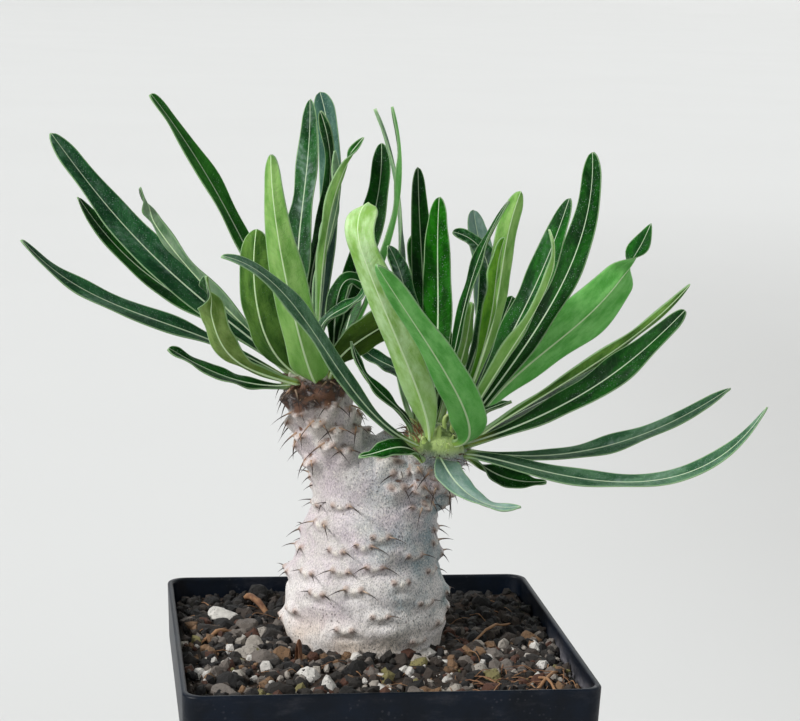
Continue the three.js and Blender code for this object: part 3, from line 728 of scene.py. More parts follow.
@dataclass(frozen=True)
class Bark:
    """Silvery bark: lilac on one side, a painted grey shade on the other, painted light on a warm tan
    near the soil.
    """

    silver: Steps = (202, 197, 194)
    lilac: Steps = (203, 191, 197)
    # painted shade: grey-teal colour of the trunk's right side
    shade: Steps = (128, 150, 156)
    # warm tan and pale of the lowest trunk, brightened as painted light
    lit_warm_base: Steps = (240, 222, 204)
    lit_pale_base: Steps = (236, 232, 230)
    brown: Steps = (84, 60, 46)
    # pale scar colour, also painted as highlights on the cushions and on the scales' tops
    scar_and_highlight: Steps = (236, 228, 218)
    grit: Steps = (96, 90, 92)
    shaded_grit: Steps = (58, 74, 80)
    pit: Steps = (48, 36, 32)
    ring: Steps = (164, 128, 106)
    rust: Steps = (96, 64, 46)
    young: Steps = (170, 194, 118)
    shaded_young: Steps = (92, 118, 54)

    def material(self) -> Material:
        """Builds the bark.

        Returns:
            The material.
        """
        paint = Paint("bark", 0.62)
        place = paint.place
        x, _, z = paint.axes(place)
        rust_and_shade = paint.attribute("rust_and_shade")
        side = paint.band(x, -0.012, 0.01)
        drift = paint.noise(place, 90.0)
        # painted shade: the trunk's right side turned grey-teal, in patches
        shaded_side = paint.times(side, paint.band(drift, 0.3, 0.6))
        # painted light over a warm tan base: the lowest trunk made paler, and warmer lower down, in
        # patches
        paler = paint.times(paint.band(z, 0.1, 0.086), paint.band(drift, 0.6, 0.4), 0.85)
        low = paint.times(paint.band(z, 0.088, 0.077), paint.band(drift, 0.34, 0.6), 0.7)
        age = paint.times(paint.attribute("aged"), paint.band(drift, 0.32, 0.62), 0.45)
        fine = paint.noise(paint.stretch(place, 1, 1, 0.5), 3600.0, 2.0, 0.75)
        # fine grain, stronger on the right side, where its colour turns to a painted shade
        grain = paint.times(paint.band(fine, 0.46, 0.62), paint.band(side, 0.0, 1.0, 0.44, 0.66))
        flake = paint.band(paint.noise(place, 2300.0, 2.0, 0.6), 0.56, 0.68)
        crumb = paint.noise(place, 420.0, 3.0, 0.6)
        # rust and brown scales, with painted shade in the hollows above the branch's scales and round
        # the left crown under its leaves
        dark_rust_and_shade = paint.calc("ADD", paint.times(rust_and_shade, 0.64), paint.times(crumb, 1.1))
        # painted shade in soft patches over the young skin
        young_shade_patches = paint.band(paint.noise(place, 420.0), 0.42, 0.62)
        layers = (
            (shaded_side, self.shade),
            (paler, self.lit_pale_base),
            (low, self.lit_warm_base),
            (age, self.brown),
            (paint.attribute("scar_and_highlight"), self.scar_and_highlight),
            (grain, paint.blend(side, self.grit, self.shaded_grit)),
            (paint.times(flake, paint.band(rust_and_shade, 0.0, 0.6, 0.5, 0.0)), self.scar_and_highlight),
            (paint.times(paint.speckle(place, 850.0, 0.26, 0.5), 0.6), self.pit),
            (paint.attribute("ring"), self.ring),
            (
                paint.band(dark_rust_and_shade, 0.82, 1.15),
                paint.blend(paint.band(crumb, 0.42, 0.58), self.pit, self.rust),
            ),
            (paint.attribute("pit"), self.pit),
            (paint.attribute("young"), paint.blend(young_shade_patches, self.young, self.shaded_young)),
        )
        height = paint.calc("ADD", paint.times(fine, 0.6), paint.noise(place, 600.0, 2.0))
        paint.bump(height, 0.75, 0.0004)
        return paint.close(paint.layer(paint.mottle(place, 160.0, self.silver, self.lilac), layers))


@dataclass(frozen=True)
class SpineHorn:
    """Spines: tan and woody at the root, dark at the point."""

    root: Steps = (206, 182, 158)
    middle: Steps = (142, 118, 100)
    point: Steps = (48, 38, 36)
    brown: Steps = (164, 128, 100)

    def material(self) -> Material:
        """Builds the horn.

        Returns:
            The material.
        """
        paint = Paint("spine_horn", 0.5)
        cloud = paint.times(paint.noise(paint.place, 130.0), 0.55)
        dark = paint.band(paint.calc("ADD", paint.attribute("along"), cloud), 0.36, 0.8)
        horn = paint.mottle(paint.place, 420.0, self.root, self.middle)
        layers = ((paint.attribute("brown"), self.brown), (dark, self.point))
        return paint.close(paint.layer(horn, layers))


@dataclass(frozen=True)
class Bristle:
    """Buds and bristles of a growing crown: yellow-green to straw, brown with age."""

    name: str
    root: Steps
    tip: Steps

    def material(self) -> Material:
        """Builds the bristle's finish, from its root's colour to its tip's.

        Returns:
            The material.
        """
        paint = Paint(self.name, 0.55)
        drift = paint.times(paint.noise(paint.place, 500.0), 0.6)
        share = paint.band(paint.calc("ADD", paint.attribute("along"), drift), 0.5, 1.2)
        return paint.close(paint.blend(share, self.root, self.tip))


@dataclass
class SpineSite:
    """A cushion with its pair of spines."""

    root: np.ndarray
    outward: np.ndarray
    lengths: tuple[float, float]
    droop: float
    scaly: bool = False
    apart: float = 1.7
    brown: float = 0.0


@dataclass(frozen=True)
class Blemish:
    """A rusty hollow in the bark."""

    place: tuple[float, float, float]
    across: float
    tall: float
    depth: float


BLEMISHES = [
    Blemish((9.3, -7.2, 122.8), 1.6, 1.3, 1.2),
    Blemish((4.5, -6.7, 118.8), 0.9, 0.5, 0.5),
    Blemish((7.3, -6.8, 118.1), 1.2, 0.6, 0.6),
    Blemish((10, -6.8, 117.4), 0.9, 0.6, 0.5),
    Blemish((12, -7.0, 114), 0.8, 0.5, 0.4),
]


@dataclass(frozen=True)
class Swelling:
    """A soft hill, or with a negative height a hollow, at a cushion."""

    height: float
    middle: float
    across: float
    above: float
    below: float

    def share(self, s: np.ndarray, h: np.ndarray) -> np.ndarray:
        """Its share of its full height, s beside and h above the cushion's middle."""
        tall = np.where(h > self.middle, self.above, self.below)
        return np.exp(-((s / self.across) ** 2) - ((h - self.middle) / tall) ** 2)


MOUND = Swelling(2.0, -0.6, 1.7, 1.3, 3.0)
HOLLOW = Swelling(-0.5, 1.1, 1.5, 0.8, 0.8)
CUSHION = Swelling(0.8, 0.0, 2.4, 1.5, 1.1)
FURROW = Swelling(-0.4, -2.3, 3.2, 0.8, 0.8)
SCAR = Swelling(0.35, -0.6, 0.8, 0.7, 0.7)


@dataclass(frozen=True)
class Tuft:
    """How a crown's buds or bristles stand: their number, spread and size."""

    count: int
    heights: tuple[float, float]
    lengths: tuple[float, float]
    radii: tuple[float, float]
    bearings: tuple[float, float] = (0.0, 360.0)


def level_direction(angle: float) -> np.ndarray:
    """The level unit direction of a bearing in radians."""
    return np.array([math.cos(angle), math.sin(angle), 0])


@dataclass
class Caudex:
    """The bottle trunk, its fork, its two branches and all its spines."""

    low: float = 64.0
    top: float = 123.9
    columns: int = 72
    branch_columns: int = 36
    branch_steps: int = 24
    dome: tuple = (15, 30, 45, 58, 70, 80, 87)
    back_rows: tuple = (80.5, 119.0, 5.4)
    depth_share: float = 0.92
    depth_from: float = 104.0
    depth_slope: float = 0.018
    lean_from: float = 98.0
    lean_slope: float = 0.12
    voxel: float = 0.4
    near: float = 6.0
    spread: float = 64.0
    spine_radius: float = 0.24
    spine_root: float = 0.8
    golden_angle: float = 2.39996
    bark: Bark = Bark()
    horn: SpineHorn = SpineHorn()
    green: Bristle = Bristle("green_bristle", (172, 198, 112), (204, 214, 150))
    fuzz: Bristle = Bristle("pale_fuzz", (188, 204, 156), (224, 226, 204))
    woody: Bristle = Bristle("woody_bristle", (92, 64, 42), (40, 28, 22))
    rusty: Bristle = Bristle("rusty_bristle", (176, 124, 92), (84, 50, 36))
    sites: list[SpineSite] = field(default_factory=list)

    def middle_y(self, z: float) -> float:
        """The trunk's middle, front to back, at a height."""
        return TRUNK_Y - self.lean_slope * max(0.0, z - self.lean_from)

    def depth(self, z: float) -> float:
        """The trunk's depth as a share of its width at a height."""
        return self.depth_share - self.depth_slope * max(0.0, z - self.depth_from)

    def swell(self, angle: float, z: float) -> float:
        """Low rolls and lobes round the trunk, in millimetres."""
        rolls = 0.3 * math.sin(z * 0.72 + 1.3 * math.sin(2 * angle + 0.6))
        return rolls + 0.35 * math.sin(3 * angle + z * 0.05)

    def surface(self, angle: float, z: float) -> np.ndarray:
        """A point on the trunk's skin.

        Args:
            angle: bearing in radians.
            z: height.

        Returns:
            The point in millimetres.
        """
        heights, shifts, radii = zip(*TRUNK_ROWS)
        radius = np.interp(z, heights, radii)
        reach = radius + self.swell(angle, z) * min(1, radius / 14)
        x = np.interp(z, heights, shifts) + reach * math.cos(angle)
        y = self.middle_y(z) + reach * self.depth(z) * math.sin(angle)
        return np.array([x, y, z])

    def trunk_loft(self) -> tuple[np.ndarray, list]:
        """Points and faces of the trunk before the branches are joined."""
        heights = [*np.arange(self.low, self.top, 1.0), self.top]
        points = [self.surface(a, z) for z in heights for a in turns(self.columns)]
        return np.array(points), tube_faces(len(heights), self.columns)

    def branch_loft(self, route: Route, crown: Crown) -> tuple[np.ndarray, list]:
        """Points and faces of one branch with its round crown.

        Args:
            route: the branch's middle line.
            crown: its top.

        Returns:
            The points and faces.
        """
        stops = [route.at(i / self.branch_steps) for i in range(self.branch_steps + 1)]
        up = route.direction(1.0)
        for turn in self.dome:
            centre = np.array(crown.centre) + up * crown.radius * math.sin(math.radians(turn))
            stops.append((centre, up, crown.radius * math.cos(math.radians(turn))))
        points = []
        for centre, direction, radius in stops:
            across = np.cross((0, -1, 0), direction)
            across /= np.linalg.norm(across)
            other = np.cross(direction, across)
            for a in turns(self.branch_columns):
                points.append(centre + across * radius * math.cos(a) + other * radius * math.sin(a))
        return np.array(points), tube_faces(len(stops), self.branch_columns)

    def find_sites(self) -> None:
        """Lists every cushion: the trunk's front, its back, and both branches."""
        draws = Draws(41)
        for bearing, z, left, right in FRONT_SITES:
            angle = math.radians(bearing)
            lengths = (FRONT_GROWTH * left, FRONT_GROWTH * right)
            self.add_site(angle, z, lengths, draws.between(2, 20))
        for row, z in enumerate(np.arange(*self.back_rows)):
            for bearing in range(36 if row % 2 else 18, 169, 36):
                angle = math.radians(bearing + draws.between(-5, 5))
                height = float(z) + draws.between(-1, 1)
                grown = 1.5 + 4.5 * min(1, (height - 78) / 26)
                lengths = (grown * draws.between(0.6, 1.1), grown * draws.between(0.6, 1.1))
                self.add_site(angle, height, lengths, draws.between(4, 24))
        self.branch_sites(LEFT_ROUTE, [0.44, 0.54, 0.64, 0.74, 0.84, 0.94, 1.02], 5, draws)
        self.branch_sites(RIGHT_ROUTE, [0.5, 0.66, 0.82, 0.96], 6, draws)

    def add_site(self, angle: float, z: float, lengths: tuple[float, float], droop: float) -> None:
        """Adds a cushion on the trunk's skin, at a bearing in radians."""
        self.sites.append(SpineSite(self.surface(angle, z), level_direction(angle), lengths, droop))

    def branch_sites(self, route: Route, shares: list[float], pairs: int, draws: Draws) -> None:
        """Adds rings of cushions round a branch.

        Args:
            route: the branch's middle line.
            shares: where each ring lies along it.
            pairs: cushions in a ring.
            draws: the repeatable draw.
        """
        for row, share in enumerate(shares):
            centre, direction, radius = route.at(share)
            for i in range(pairs):
                angle = 2 * math.pi * (i + 0.5 * (row % 2) + 0.2 * (draws.next() - 0.5)) / pairs
                outward = level_direction(angle)
                outward -= direction * outward.dot(direction)
                outward /= np.linalg.norm(outward)
                root = centre + outward * (radius + 0.2)
                lengths = (draws.between(3.2, 6.4), draws.between(3.2, 6.4))
                droop = draws.between(16, 60)
                brown = 0.2 + 0.7 * draws.next()
                self.sites.append(SpineSite(root, outward, lengths, droop, True, 1.1, brown))

    def body(self) -> None:
        """Makes the bark body: joined lofts, then cushions, rolls and fine relief."""
        points, faces = [], []
        lofts = (
            self.trunk_loft(),
            self.branch_loft(LEFT_ROUTE, LEFT_CROWN),
            self.branch_loft(RIGHT_ROUTE, RIGHT_CROWN),
        )
        for rows, sides in lofts:
            faces += [tuple(i + len(points) for i in side) for side in sides]
            points.extend(rows)
        rough = new_piece("rough", points, faces, self.bark.material())
        remesh = rough.modifiers.new("join", "REMESH")
        remesh.mode, remesh.voxel_size = "VOXEL", self.voxel * MM
        remesh.use_smooth_shade = True
        soften = rough.modifiers.new("soften", "SMOOTH")
        soften.iterations, soften.factor = 8, 0.6
        piece = freeze(rough, "caudex_bark")
        self.sculpt(piece)
        publish(piece, "caudex", "caudex")

    def sculpt(self, piece: Piece) -> None:
        """Raises cushions, rolls and wrinkles, and marks scars with painted highlights, rust with
        painted shade, pits and young skin.

        Args:
            piece: the joined body.
        """
        places = point_rows(piece.data, "co") / MM
        normals = point_rows(piece.data, "normal")
        lift = np.zeros(len(places))
        marks = {name: np.zeros(len(places)) for name in ("scar_and_highlight", "pit", "ring", "rust_and_shade")}
        for site in self.sites:
            self.mark_site(site, places, lift, marks)
        for mark in BLEMISHES:
            away = (places - np.array(mark.place)) / np.array((mark.across, mark.across, mark.tall))
            dent = np.exp(-np.sum(away**2, axis=1))
            lift -= mark.depth * dent
            marks["rust_and_shade"] = np.maximum(marks["rust_and_shade"], np.clip(1.3 * dent, 0, 1))
        soft = np.array([noise.noise(Vector(p * 0.16)) for p in places])
        fine = np.array([noise.noise(Vector((p[0] * 0.9, p[1] * 0.9, p[2] * 0.45))) for p in places])
        lift += 0.45 * soft + 0.1 * fine
        raised = (places + normals * lift[:, None]) * MM
        piece.data.vertices.foreach_set("co", raised.ravel())
        z = places[:, 2]
        left = np.linalg.norm(places - np.array(LEFT_CROWN.centre), axis=1)
        right = np.linalg.norm(places - np.array(RIGHT_CROWN.centre), axis=1)
        front = smooth(-(places[:, 1] - RIGHT_CROWN.centre[1]), 1.5, 4.5)
        young = smooth(-right, -8.4, -6.6) * smooth(z, 121.0, 124.0)
        young = np.maximum(young, smooth(-left, -7.2, -6.0) * smooth(z, 138.5, 141.0))
        aged = smooth(z, 112, 119) * (1 - young)
        aged = np.maximum(aged * 0.3, smooth(-left, -15, -6.5) * (1 - young))
        marks["aged"] = np.maximum(aged, smooth(-right, -10.5, -7.0) * (1 - young))
        # painted shade with brown scales: a dark band round the left crown, under its leaves
        marks["rust_and_shade"] = np.maximum(marks["rust_and_shade"], smooth(-left, -9.0, -6.6)) * (1 - young)
        marks["young"] = young * (0.75 + 0.25 * front)
        keep_values(piece, {name: np.clip(values, 0, 1) for name, values in marks.items()})
        piece.data.update()

    def mark_site(
        self, site: SpineSite, places: np.ndarray, lift: np.ndarray, marks: dict[str, np.ndarray]
    ) -> None:
        """Raises and marks the skin round one cushion.

        Args:
            site: the cushion.
            places: every point of the body.
            lift: how far each point moves outward, changed in place.
            marks: the skin's marks, changed in place.
        """
        near = np.where(np.abs(places - site.root).max(1) < self.near)[0]
        away = places[near] - site.root
        across = np.cross((0, 0, 1), site.outward)
        across /= np.linalg.norm(across)
        s = away @ across
        h = away @ np.cross(site.outward, across)

        def mark(name: str, values: np.ndarray) -> None:
            """Raises one mark to at least these values."""
            marks[name][near] = np.maximum(marks[name][near], values)

        forms = (MOUND, HOLLOW, SCAR) if site.scaly else (CUSHION, FURROW, SCAR)
        for form in forms:
            lift[near] += form.height * form.share(s, h)
        if site.scaly:
            # painted shadow in the hollow above each scale-like mound
            mark("rust_and_shade", 0.75 * HOLLOW.share(s, h))
            # painted highlight over each scale-like mound
            mark("scar_and_highlight", 0.4 * MOUND.share(s, h))
        # pale scar below the spines, partly a painted highlight on its bump
        mark("scar_and_highlight", (0.3 if site.scaly else 0.95) * SCAR.share(s, h))
        for sign in (-1, 1):
            spot = (s - sign * site.apart) ** 2
            lift[near] += 0.6 * np.exp(-(spot + h**2) / 0.55)
            mark("ring", 0.55 * np.exp(-((spot + h**2) / 0.6) ** 2))
            mark("pit", 0.9 * np.exp(-(spot + (h + 0.35) ** 2) / 0.12))

    def spine_tree(self) -> Tree:
        """A geometry tree that stands a tapered spine, bowed downward, on each point.

        Returns:
            The tree.
        """
        inputs = {
            "Points": "shape", "Sides": "count", "Steps": "count", "Bend": "value",
            "Girth": "value", "Material": "material",
        }
        spines = Group("spines", "GeometryNodeTree", inputs, "shape")
        given = spines.given
        middle = spines.out("ShaderNodeCombineXYZ", {0: given["Bend"], 2: 0.5})
        bow = {"Resolution": given["Steps"], "Start": (0, 0, 0), "Middle": middle, "End": (0, 0, 1)}
        line = spines.out("GeometryNodeCurveQuadraticBezier", bow)
        factor = spines.out("GeometryNodeSplineParameter")
        stored = {"Geometry": line, "Name": "along", "Value": factor}
        line = spines.out(
            "GeometryNodeStoreNamedAttribute", stored, data_type="FLOAT", domain="POINT"
        )
        circle = {"Resolution": given["Sides"], "Radius": given["Girth"]}
        ring = spines.out("GeometryNodeCurvePrimitiveCircle", circle)
        taper = spines.calc("POWER", spines.calc("SUBTRACT", 1.03, factor), 1.1)
        sweep = {"Curve": line, "Profile Curve": ring, "Scale": taper, "Fill Caps": True}
        horn = spines.out("GeometryNodeCurveToMesh", sweep)
        aim = {"Vector": spines.read("aim")}
        turned = spines.out("FunctionNodeAlignRotationToVector", aim, axis="Z")
        upright = {"Rotation": turned, "Vector": (0, 0, 1)}
        turned = spines.out(
            "FunctionNodeAlignRotationToVector", upright, axis="X", pivot_axis="Z"
        )
        stand = {
            "Points": given["Points"], "Instance": horn, "Rotation": turned,
            "Scale": spines.read("size"),
        }
        return spines.dress(spines.out("GeometryNodeInstanceOnPoints", stand), True)

    def spines(self) -> None:
        """Stands the spines on their cushions."""
        roots, aims, sizes, browns = [], [], [], []
        for site in self.sites:
            outward = Vector(site.outward)
            across = Vector((0, 0, 1)).cross(outward).normalized()
            lifted = outward * (1.3 if site.scaly else 0.5)
            for sign, length in zip((-1, 1), site.lengths):
                aim = Matrix.Rotation(math.radians(site.droop), 3, across) @ outward
                aim = Matrix.Rotation(math.radians(sign * self.spread), 3, "Z") @ aim
                root = Vector(site.root) + across * sign * site.apart + lifted
                girth = self.spine_radius * (0.8 + 0.06 * length) / SLENDER
                roots.append(root - aim * self.spine_root)
                aims.append(aim.normalized())
                sizes.append((girth * MM, girth * MM, (length + self.spine_root) * MM))
                browns.append(site.brown)
        horn = self.horn.material()
        settings = {"Sides": 6, "Steps": 7, "Bend": 0.15, "Girth": SLENDER, "Material": horn}
        values = {"aim": aims, "size": sizes, "brown": browns}
        plant("spine_pairs", "caudex", roots, values, self.spine_tree(), settings)

    def bristles(self, name: str, crown: Crown, finish: Bristle, tuft: Tuft, seed: int) -> None:
        """Stands buds or bristles on a crown, spread evenly by the golden angle.

        Args:
            name: the piece's name.
            crown: the crown they stand on.
            finish: their colours.
            tuft: their count, elevations, lengths, radii and bearings.
            seed: the repeatable draw's seed.
        """
        draws = Draws(seed)
        roots, aims, sizes = [], [], []
        low, high = (math.sin(math.radians(v)) for v in tuft.heights)
        first, last = (math.radians(v) for v in tuft.bearings)
        for i in range(tuft.count):
            height = low + (high - low) * (i + draws.next()) / tuft.count
            turn = (self.golden_angle * i + draws.between(-0.4, 0.4)) % (2 * math.pi)
            bearing = first + (last - first) * turn / (2 * math.pi)
            level = math.sqrt(1 - height * height)
            aim = Vector((level * math.cos(bearing), level * math.sin(bearing), height))
            roots.append(Vector(crown.centre) + aim * (crown.radius - 0.3))
            lean = Vector((draws.between(-1, 1), draws.between(-1, 1), draws.between(-0.3, 1)))
            aims.append((aim + 0.45 * lean).normalized())
            girth = draws.between(*tuft.radii) / SLENDER * MM
            sizes.append((girth, girth, draws.between(*tuft.lengths) * MM))
        material = finish.material()
        settings = {"Sides": 5, "Steps": 5, "Bend": 0.2, "Girth": SLENDER, "Material": material}
        plant(name, "caudex", roots, {"aim": aims, "size": sizes}, self.spine_tree(), settings)

    def dress_crowns(self) -> None:
        """Adds the young growth of the right crown and the dry bristles of both."""
        buds = Tuft(26, (10, 80), (2.4, 5.0), (0.4, 0.8))
        hairs = Tuft(110, (5, 80), (1.4, 3.2), (0.05, 0.09))
        dry = Tuft(300, (-60, 10), (1.2, 3.4), (0.1, 0.24))
        few = Tuft(150, (-50, 5), (1.2, 3.2), (0.08, 0.17))
        tan = Tuft(90, (0, 60), (2.4, 5.0), (0.1, 0.2), (130, 225))
        self.bristles("right_buds", RIGHT_CROWN, self.green, buds, 11)
        self.bristles("right_hairs", RIGHT_CROWN, self.fuzz, hairs, 12)
        self.bristles("left_scales", LEFT_CROWN, self.woody, dry, 13)
        self.bristles("right_scales", RIGHT_CROWN, self.woody, few, 14)
        self.bristles("right_bristles", RIGHT_CROWN, self.rusty, tan, 15)


# Soil
@dataclass(frozen=True)
class PeatEarth:
    """Dark peat between the grit."""

    dark: Steps = (20, 15, 12)
    brown: Steps = (56, 40, 28)

    def material(self) -> Material:
        """Builds the peat.

        Returns:
            The material.
        """
        paint = Paint("peat", 0.95)
        paint.bump(paint.noise(paint.place, 900.0, 4.0, 0.7), 0.9, 0.001)
        return paint.close(paint.mottle(paint.place, 260.0, self.dark, self.brown))


@dataclass(frozen=True)
class Grit:
    """Pumice, lava and quartz: each stone's kind picks its colour."""

    dust: Steps = (28.58, 25.46, 23.77)
    pit: Steps = (38.68, 36.42, 34.0)
    shades: tuple = (
        (0.0, (18, 18, 20)), (0.24, (38, 34, 31)), (0.42, (66, 56, 49)), (0.54, (126, 117, 110)),
        (0.65, (92, 56, 40)), (0.73, (140, 108, 78)), (0.81, (188, 180, 170)),
        (0.9, (242, 238, 232)), (0.98, (146, 138, 88)),
    )

    def material(self) -> Material:
        """Builds the grit.

        Returns:
            The material.
        """
        paint = Paint("grit", 0.85)
        place = paint.place
        ramp = paint.node("ShaderNodeValToRGB", {0: paint.attribute("kind")})
        ramp.color_ramp.interpolation = "CONSTANT"
        stops = ramp.color_ramp.elements
        while len(stops) < len(self.shades):
            stops.new(0.5)
        for stop, (start, steps) in zip(stops, self.shades):
            stop.position, stop.color = start, linear(steps)
        layers = (
            (paint.times(paint.noise(place, 420.0, 4.0, 0.7), 0.75), self.dust),
            (paint.times(paint.speckle(place, 1600.0, 0.34, 0.42), 0.55), self.pit),
        )
        paint.bump(paint.noise(place, 1300.0, 4.0, 0.7), 0.8, 0.0005)
        return paint.close(paint.layer(ramp.outputs[0], layers))


@dataclass(frozen=True)
class RootFibre:
    """Bark strips, coir and dry roots in browns and straw."""

    straw: Steps = (150, 112, 78)
    brown: Steps = (84, 48, 32)

    def material(self) -> Material:
        """Builds the fibre.

        Returns:
            The material.
        """
        paint = Paint("root_fibre", 0.8)
        cloud = paint.mottle(paint.place, 300.0, self.brown, self.straw)
        return paint.close(paint.blend(paint.attribute("tone"), cloud, self.straw))


@dataclass
class Soil:
    """The soil: a peat bed that fills the pot, stones, crumbs, twigs and root bits."""

    top: float = 75.4
    gap: float = 0.3
    half: float = 42.7
    foot: float = 16.5
    grain_count: int = 110
    grain_corner: float = 82.4
    stone_kinds: int = 6
    stone_cuts: int = 9
    crumb_count: int = 3400
    crumb_corner: float = 82.0
    corner_strays: int = 46
    strays: int = 70
    stray_reach: float = 41.5
    stray_foot: float = 18.0
    strand_sides: int = 6
    strand_steps: int = 8
    peat: PeatEarth = PeatEarth()
    grit: Grit = Grit()
    fibre: RootFibre = RootFibre()
    stones: tuple = (
        (-25, -9, 4.6, 0.6, 0.6), (-35, -32, 4.4, 0.5, 0.6), (-33, 25, 3.8, 0.7, 0.95),
        (-16, -22, 3.0, 0.9, 0.95), (28, -9, 3.4, 0.7, 0.6), (-5, -19, 3.2, 0.7, 0.05),
    )
    twigs: tuple = (
        (((-27, 39), (-24, 33), (-21, 28)), 0.9, 0.1, 2.0),
        (((23, -2), (30, 7), (36, 15)), 0.35, 0.9, 1.6),
        (((30, -36), (37, -30), (41, -20)), 0.4, 0.6, 1.5),
        (((37, -38), (36, -31), (33, -24)), 0.35, 0.7, 1.5),
        (((-39, 4), (-35, 7), (-31, 12)), 0.5, 0.2, 1.0),
        (((-18, -11), (-17.6, -11.4), (-17, -12)), 0.8, 0.0, 5.0),
    )

    def relief(self, x: float, y: float) -> float:
        """The bed's height above its level at a place."""
        rough = noise.noise(Vector((x * 0.16, y * 0.16, 3.1))) * 1.1
        return rough + 0.5 * noise.noise(Vector((x * 0.6, y * 0.6, 7.7)))

    def back_shade(self, x: float, y: float) -> float:
        """Painted shade: how much of each grit's kind is kept, falling from front to back, so darker
        grit lies at the back.
        """
        back = min(1.0, max(0.0, (y + 0.25 * x) / 24))
        return 1 - 0.45 * back

    def bed(self, pot: Pot) -> None:
        """Makes the closed peat block with its uneven top.

        Args:
            pot: the pot that it fills.
        """
        low = pot.base_size / 2 - pot.wall - self.gap
        foot = pot.height - pot.collar_height
        wide = pot.size / 2 - pot.collar_draft - pot.wall - self.gap
        shoulder = wide - pot.collar_step
        rows = [(low, pot.floor + self.gap), (shoulder, foot - 0.8), (wide, foot + 1.4)]
        rows += [(wide, self.top - 0.8)]
        rings = [pot.ring(half, z) for half, z in rows]
        for share in [0.99, 0.96, 0.92, *(0.9 - 0.05 * i for i in range(18))]:
            ring = pot.ring(wide * share, self.top)
            ring[:, 2] += [self.relief(x, y) for x, y, _ in ring]
            rings.append(ring)
        faces = tube_faces(len(rings), len(rings[0]))
        piece = new_piece("peat_bed", np.concatenate(rings), faces, self.peat.material())
        publish(piece, "soil", "soil")

    def grain_places(self) -> list[tuple[float, float, float, float]]:
        """Finds where each stone lies, as the solid has them.

        Returns:
            Each stone's place along x and y, its size and its squash.
        """
        draws = Draws(7)
        grains = [stone[:4] for stone in self.stones]
        while len(grains) < self.grain_count:
            size = 1.6 + 1.7 * draws.next() ** 2
            x = 90 * (draws.next() - 0.5)
            y = 90 * (draws.next() - 0.5)
            squash = draws.between(0.65, 0.95)
            apart = all(math.hypot(g[0] - x, g[1] - y) > 0.8 * (g[2] + size) for g in grains)
            clear = math.hypot(x, y - TRUNK_Y) > self.foot
            wall = max(abs(x), abs(y)) + size < self.half + 0.1
            corner = abs(x) + abs(y) + size < self.grain_corner
            if apart and clear and wall and corner:
                grains.append((x, y, size, squash))
        return grains

    def stone_tree(self) -> Tree:
        """A geometry tree that puts one of several broken stones on each point.

        Returns:
            The tree.
        """
        inputs = {
            "Points": "shape", "Faces": "count", "Roughness": "value", "Seed": "count",
            "Material": "material",
        }
        stones = Group("stones", "GeometryNodeTree", inputs, "shape")
        given = stones.given
        draws = Draws(29)
        kinds = stones.node("GeometryNodeJoinGeometry")
        for variant in range(self.stone_kinds):
            stone = self.stone(stones, variant, draws)
            stones.feed(kinds.inputs[0], stones.out("GeometryNodeGeometryToInstance", {0: stone}))
        picked = {4: 0, 5: self.stone_kinds - 1, "Seed": given["Seed"]}
        pick = stones.node("FunctionNodeRandomValue", picked, data_type="INT").outputs[2]
        tilt = {0: (-0.5, -0.5, 0.0), 1: (0.5, 0.5, 2 * math.pi), "Seed": given["Seed"]}
        turn = stones.out("FunctionNodeRandomValue", tilt, data_type="FLOAT_VECTOR")
        laid = {
            "Points": given["Points"], "Instance": kinds.outputs[0], "Pick Instance": True,
            "Instance Index": pick, "Rotation": stones.out("FunctionNodeEulerToRotation", {0: turn}),
            "Scale": stones.read("size"),
        }
        return stones.dress(stones.out("GeometryNodeInstanceOnPoints", laid), False)

    def stone(self, stones: Group, variant: int, draws: Draws) -> Socket:
        """One broken stone: a ball cut by flat faces, with a grain.

        Args:
            stones: the tree to build in.
            variant: the stone's number.
            draws: the repeatable draw.

        Returns:
            The stone's shape.
        """
        rough = stones.given["Roughness"]
        whole = {"Radius": 1.0, "Subdivisions": stones.given["Faces"]}
        ball = stones.out("GeometryNodeMeshIcoSphere", whole)
        spot = stones.out("GeometryNodeInputPosition")
        moved = stones.vector("ADD", spot, (3.7 * variant, 1.9 * variant, 0.7))
        reach = 1.25
        for _ in range(self.stone_cuts):
            facing = Vector([draws.between(-1, 1) for _ in range(3)]).normalized()
            ends = {0: spot, 1: tuple(facing)}
            toward = stones.node("ShaderNodeVectorMath", ends, operation="DOT_PRODUCT")
            cut = stones.calc("MAXIMUM", toward.outputs["Value"], 0.12)
            cut = stones.calc("DIVIDE", draws.between(0.62, 0.95), cut)
            reach = stones.calc("MINIMUM", reach, cut)
        grained = stones.times(stones.noise(moved, 2.6), rough)
        push = stones.calc("ADD", stones.calc("SUBTRACT", reach, 1.0), grained)
        push = stones.calc("SUBTRACT", push, stones.times(rough, 0.5))
        offset = stones.out("ShaderNodeVectorMath", {0: spot, 3: push}, operation="SCALE")
        return stones.out("GeometryNodeSetPosition", {"Geometry": ball, "Offset": offset})

    def gravel(self) -> None:
        """Lays the stones, and the crumbs between them."""
        grit = self.grit.material()
        tree = self.stone_tree()
        draws = Draws(19)
        places, sizes, kinds = [], [], []
        for i, (x, y, size, squash) in enumerate(self.grain_places()):
            places.append((x, y, self.top + 0.12 * size + self.relief(x, y) * 0.5))
            sizes.append((size * MM, size * draws.between(0.65, 1) * MM, size * squash * MM))
            loose = i >= len(self.stones)
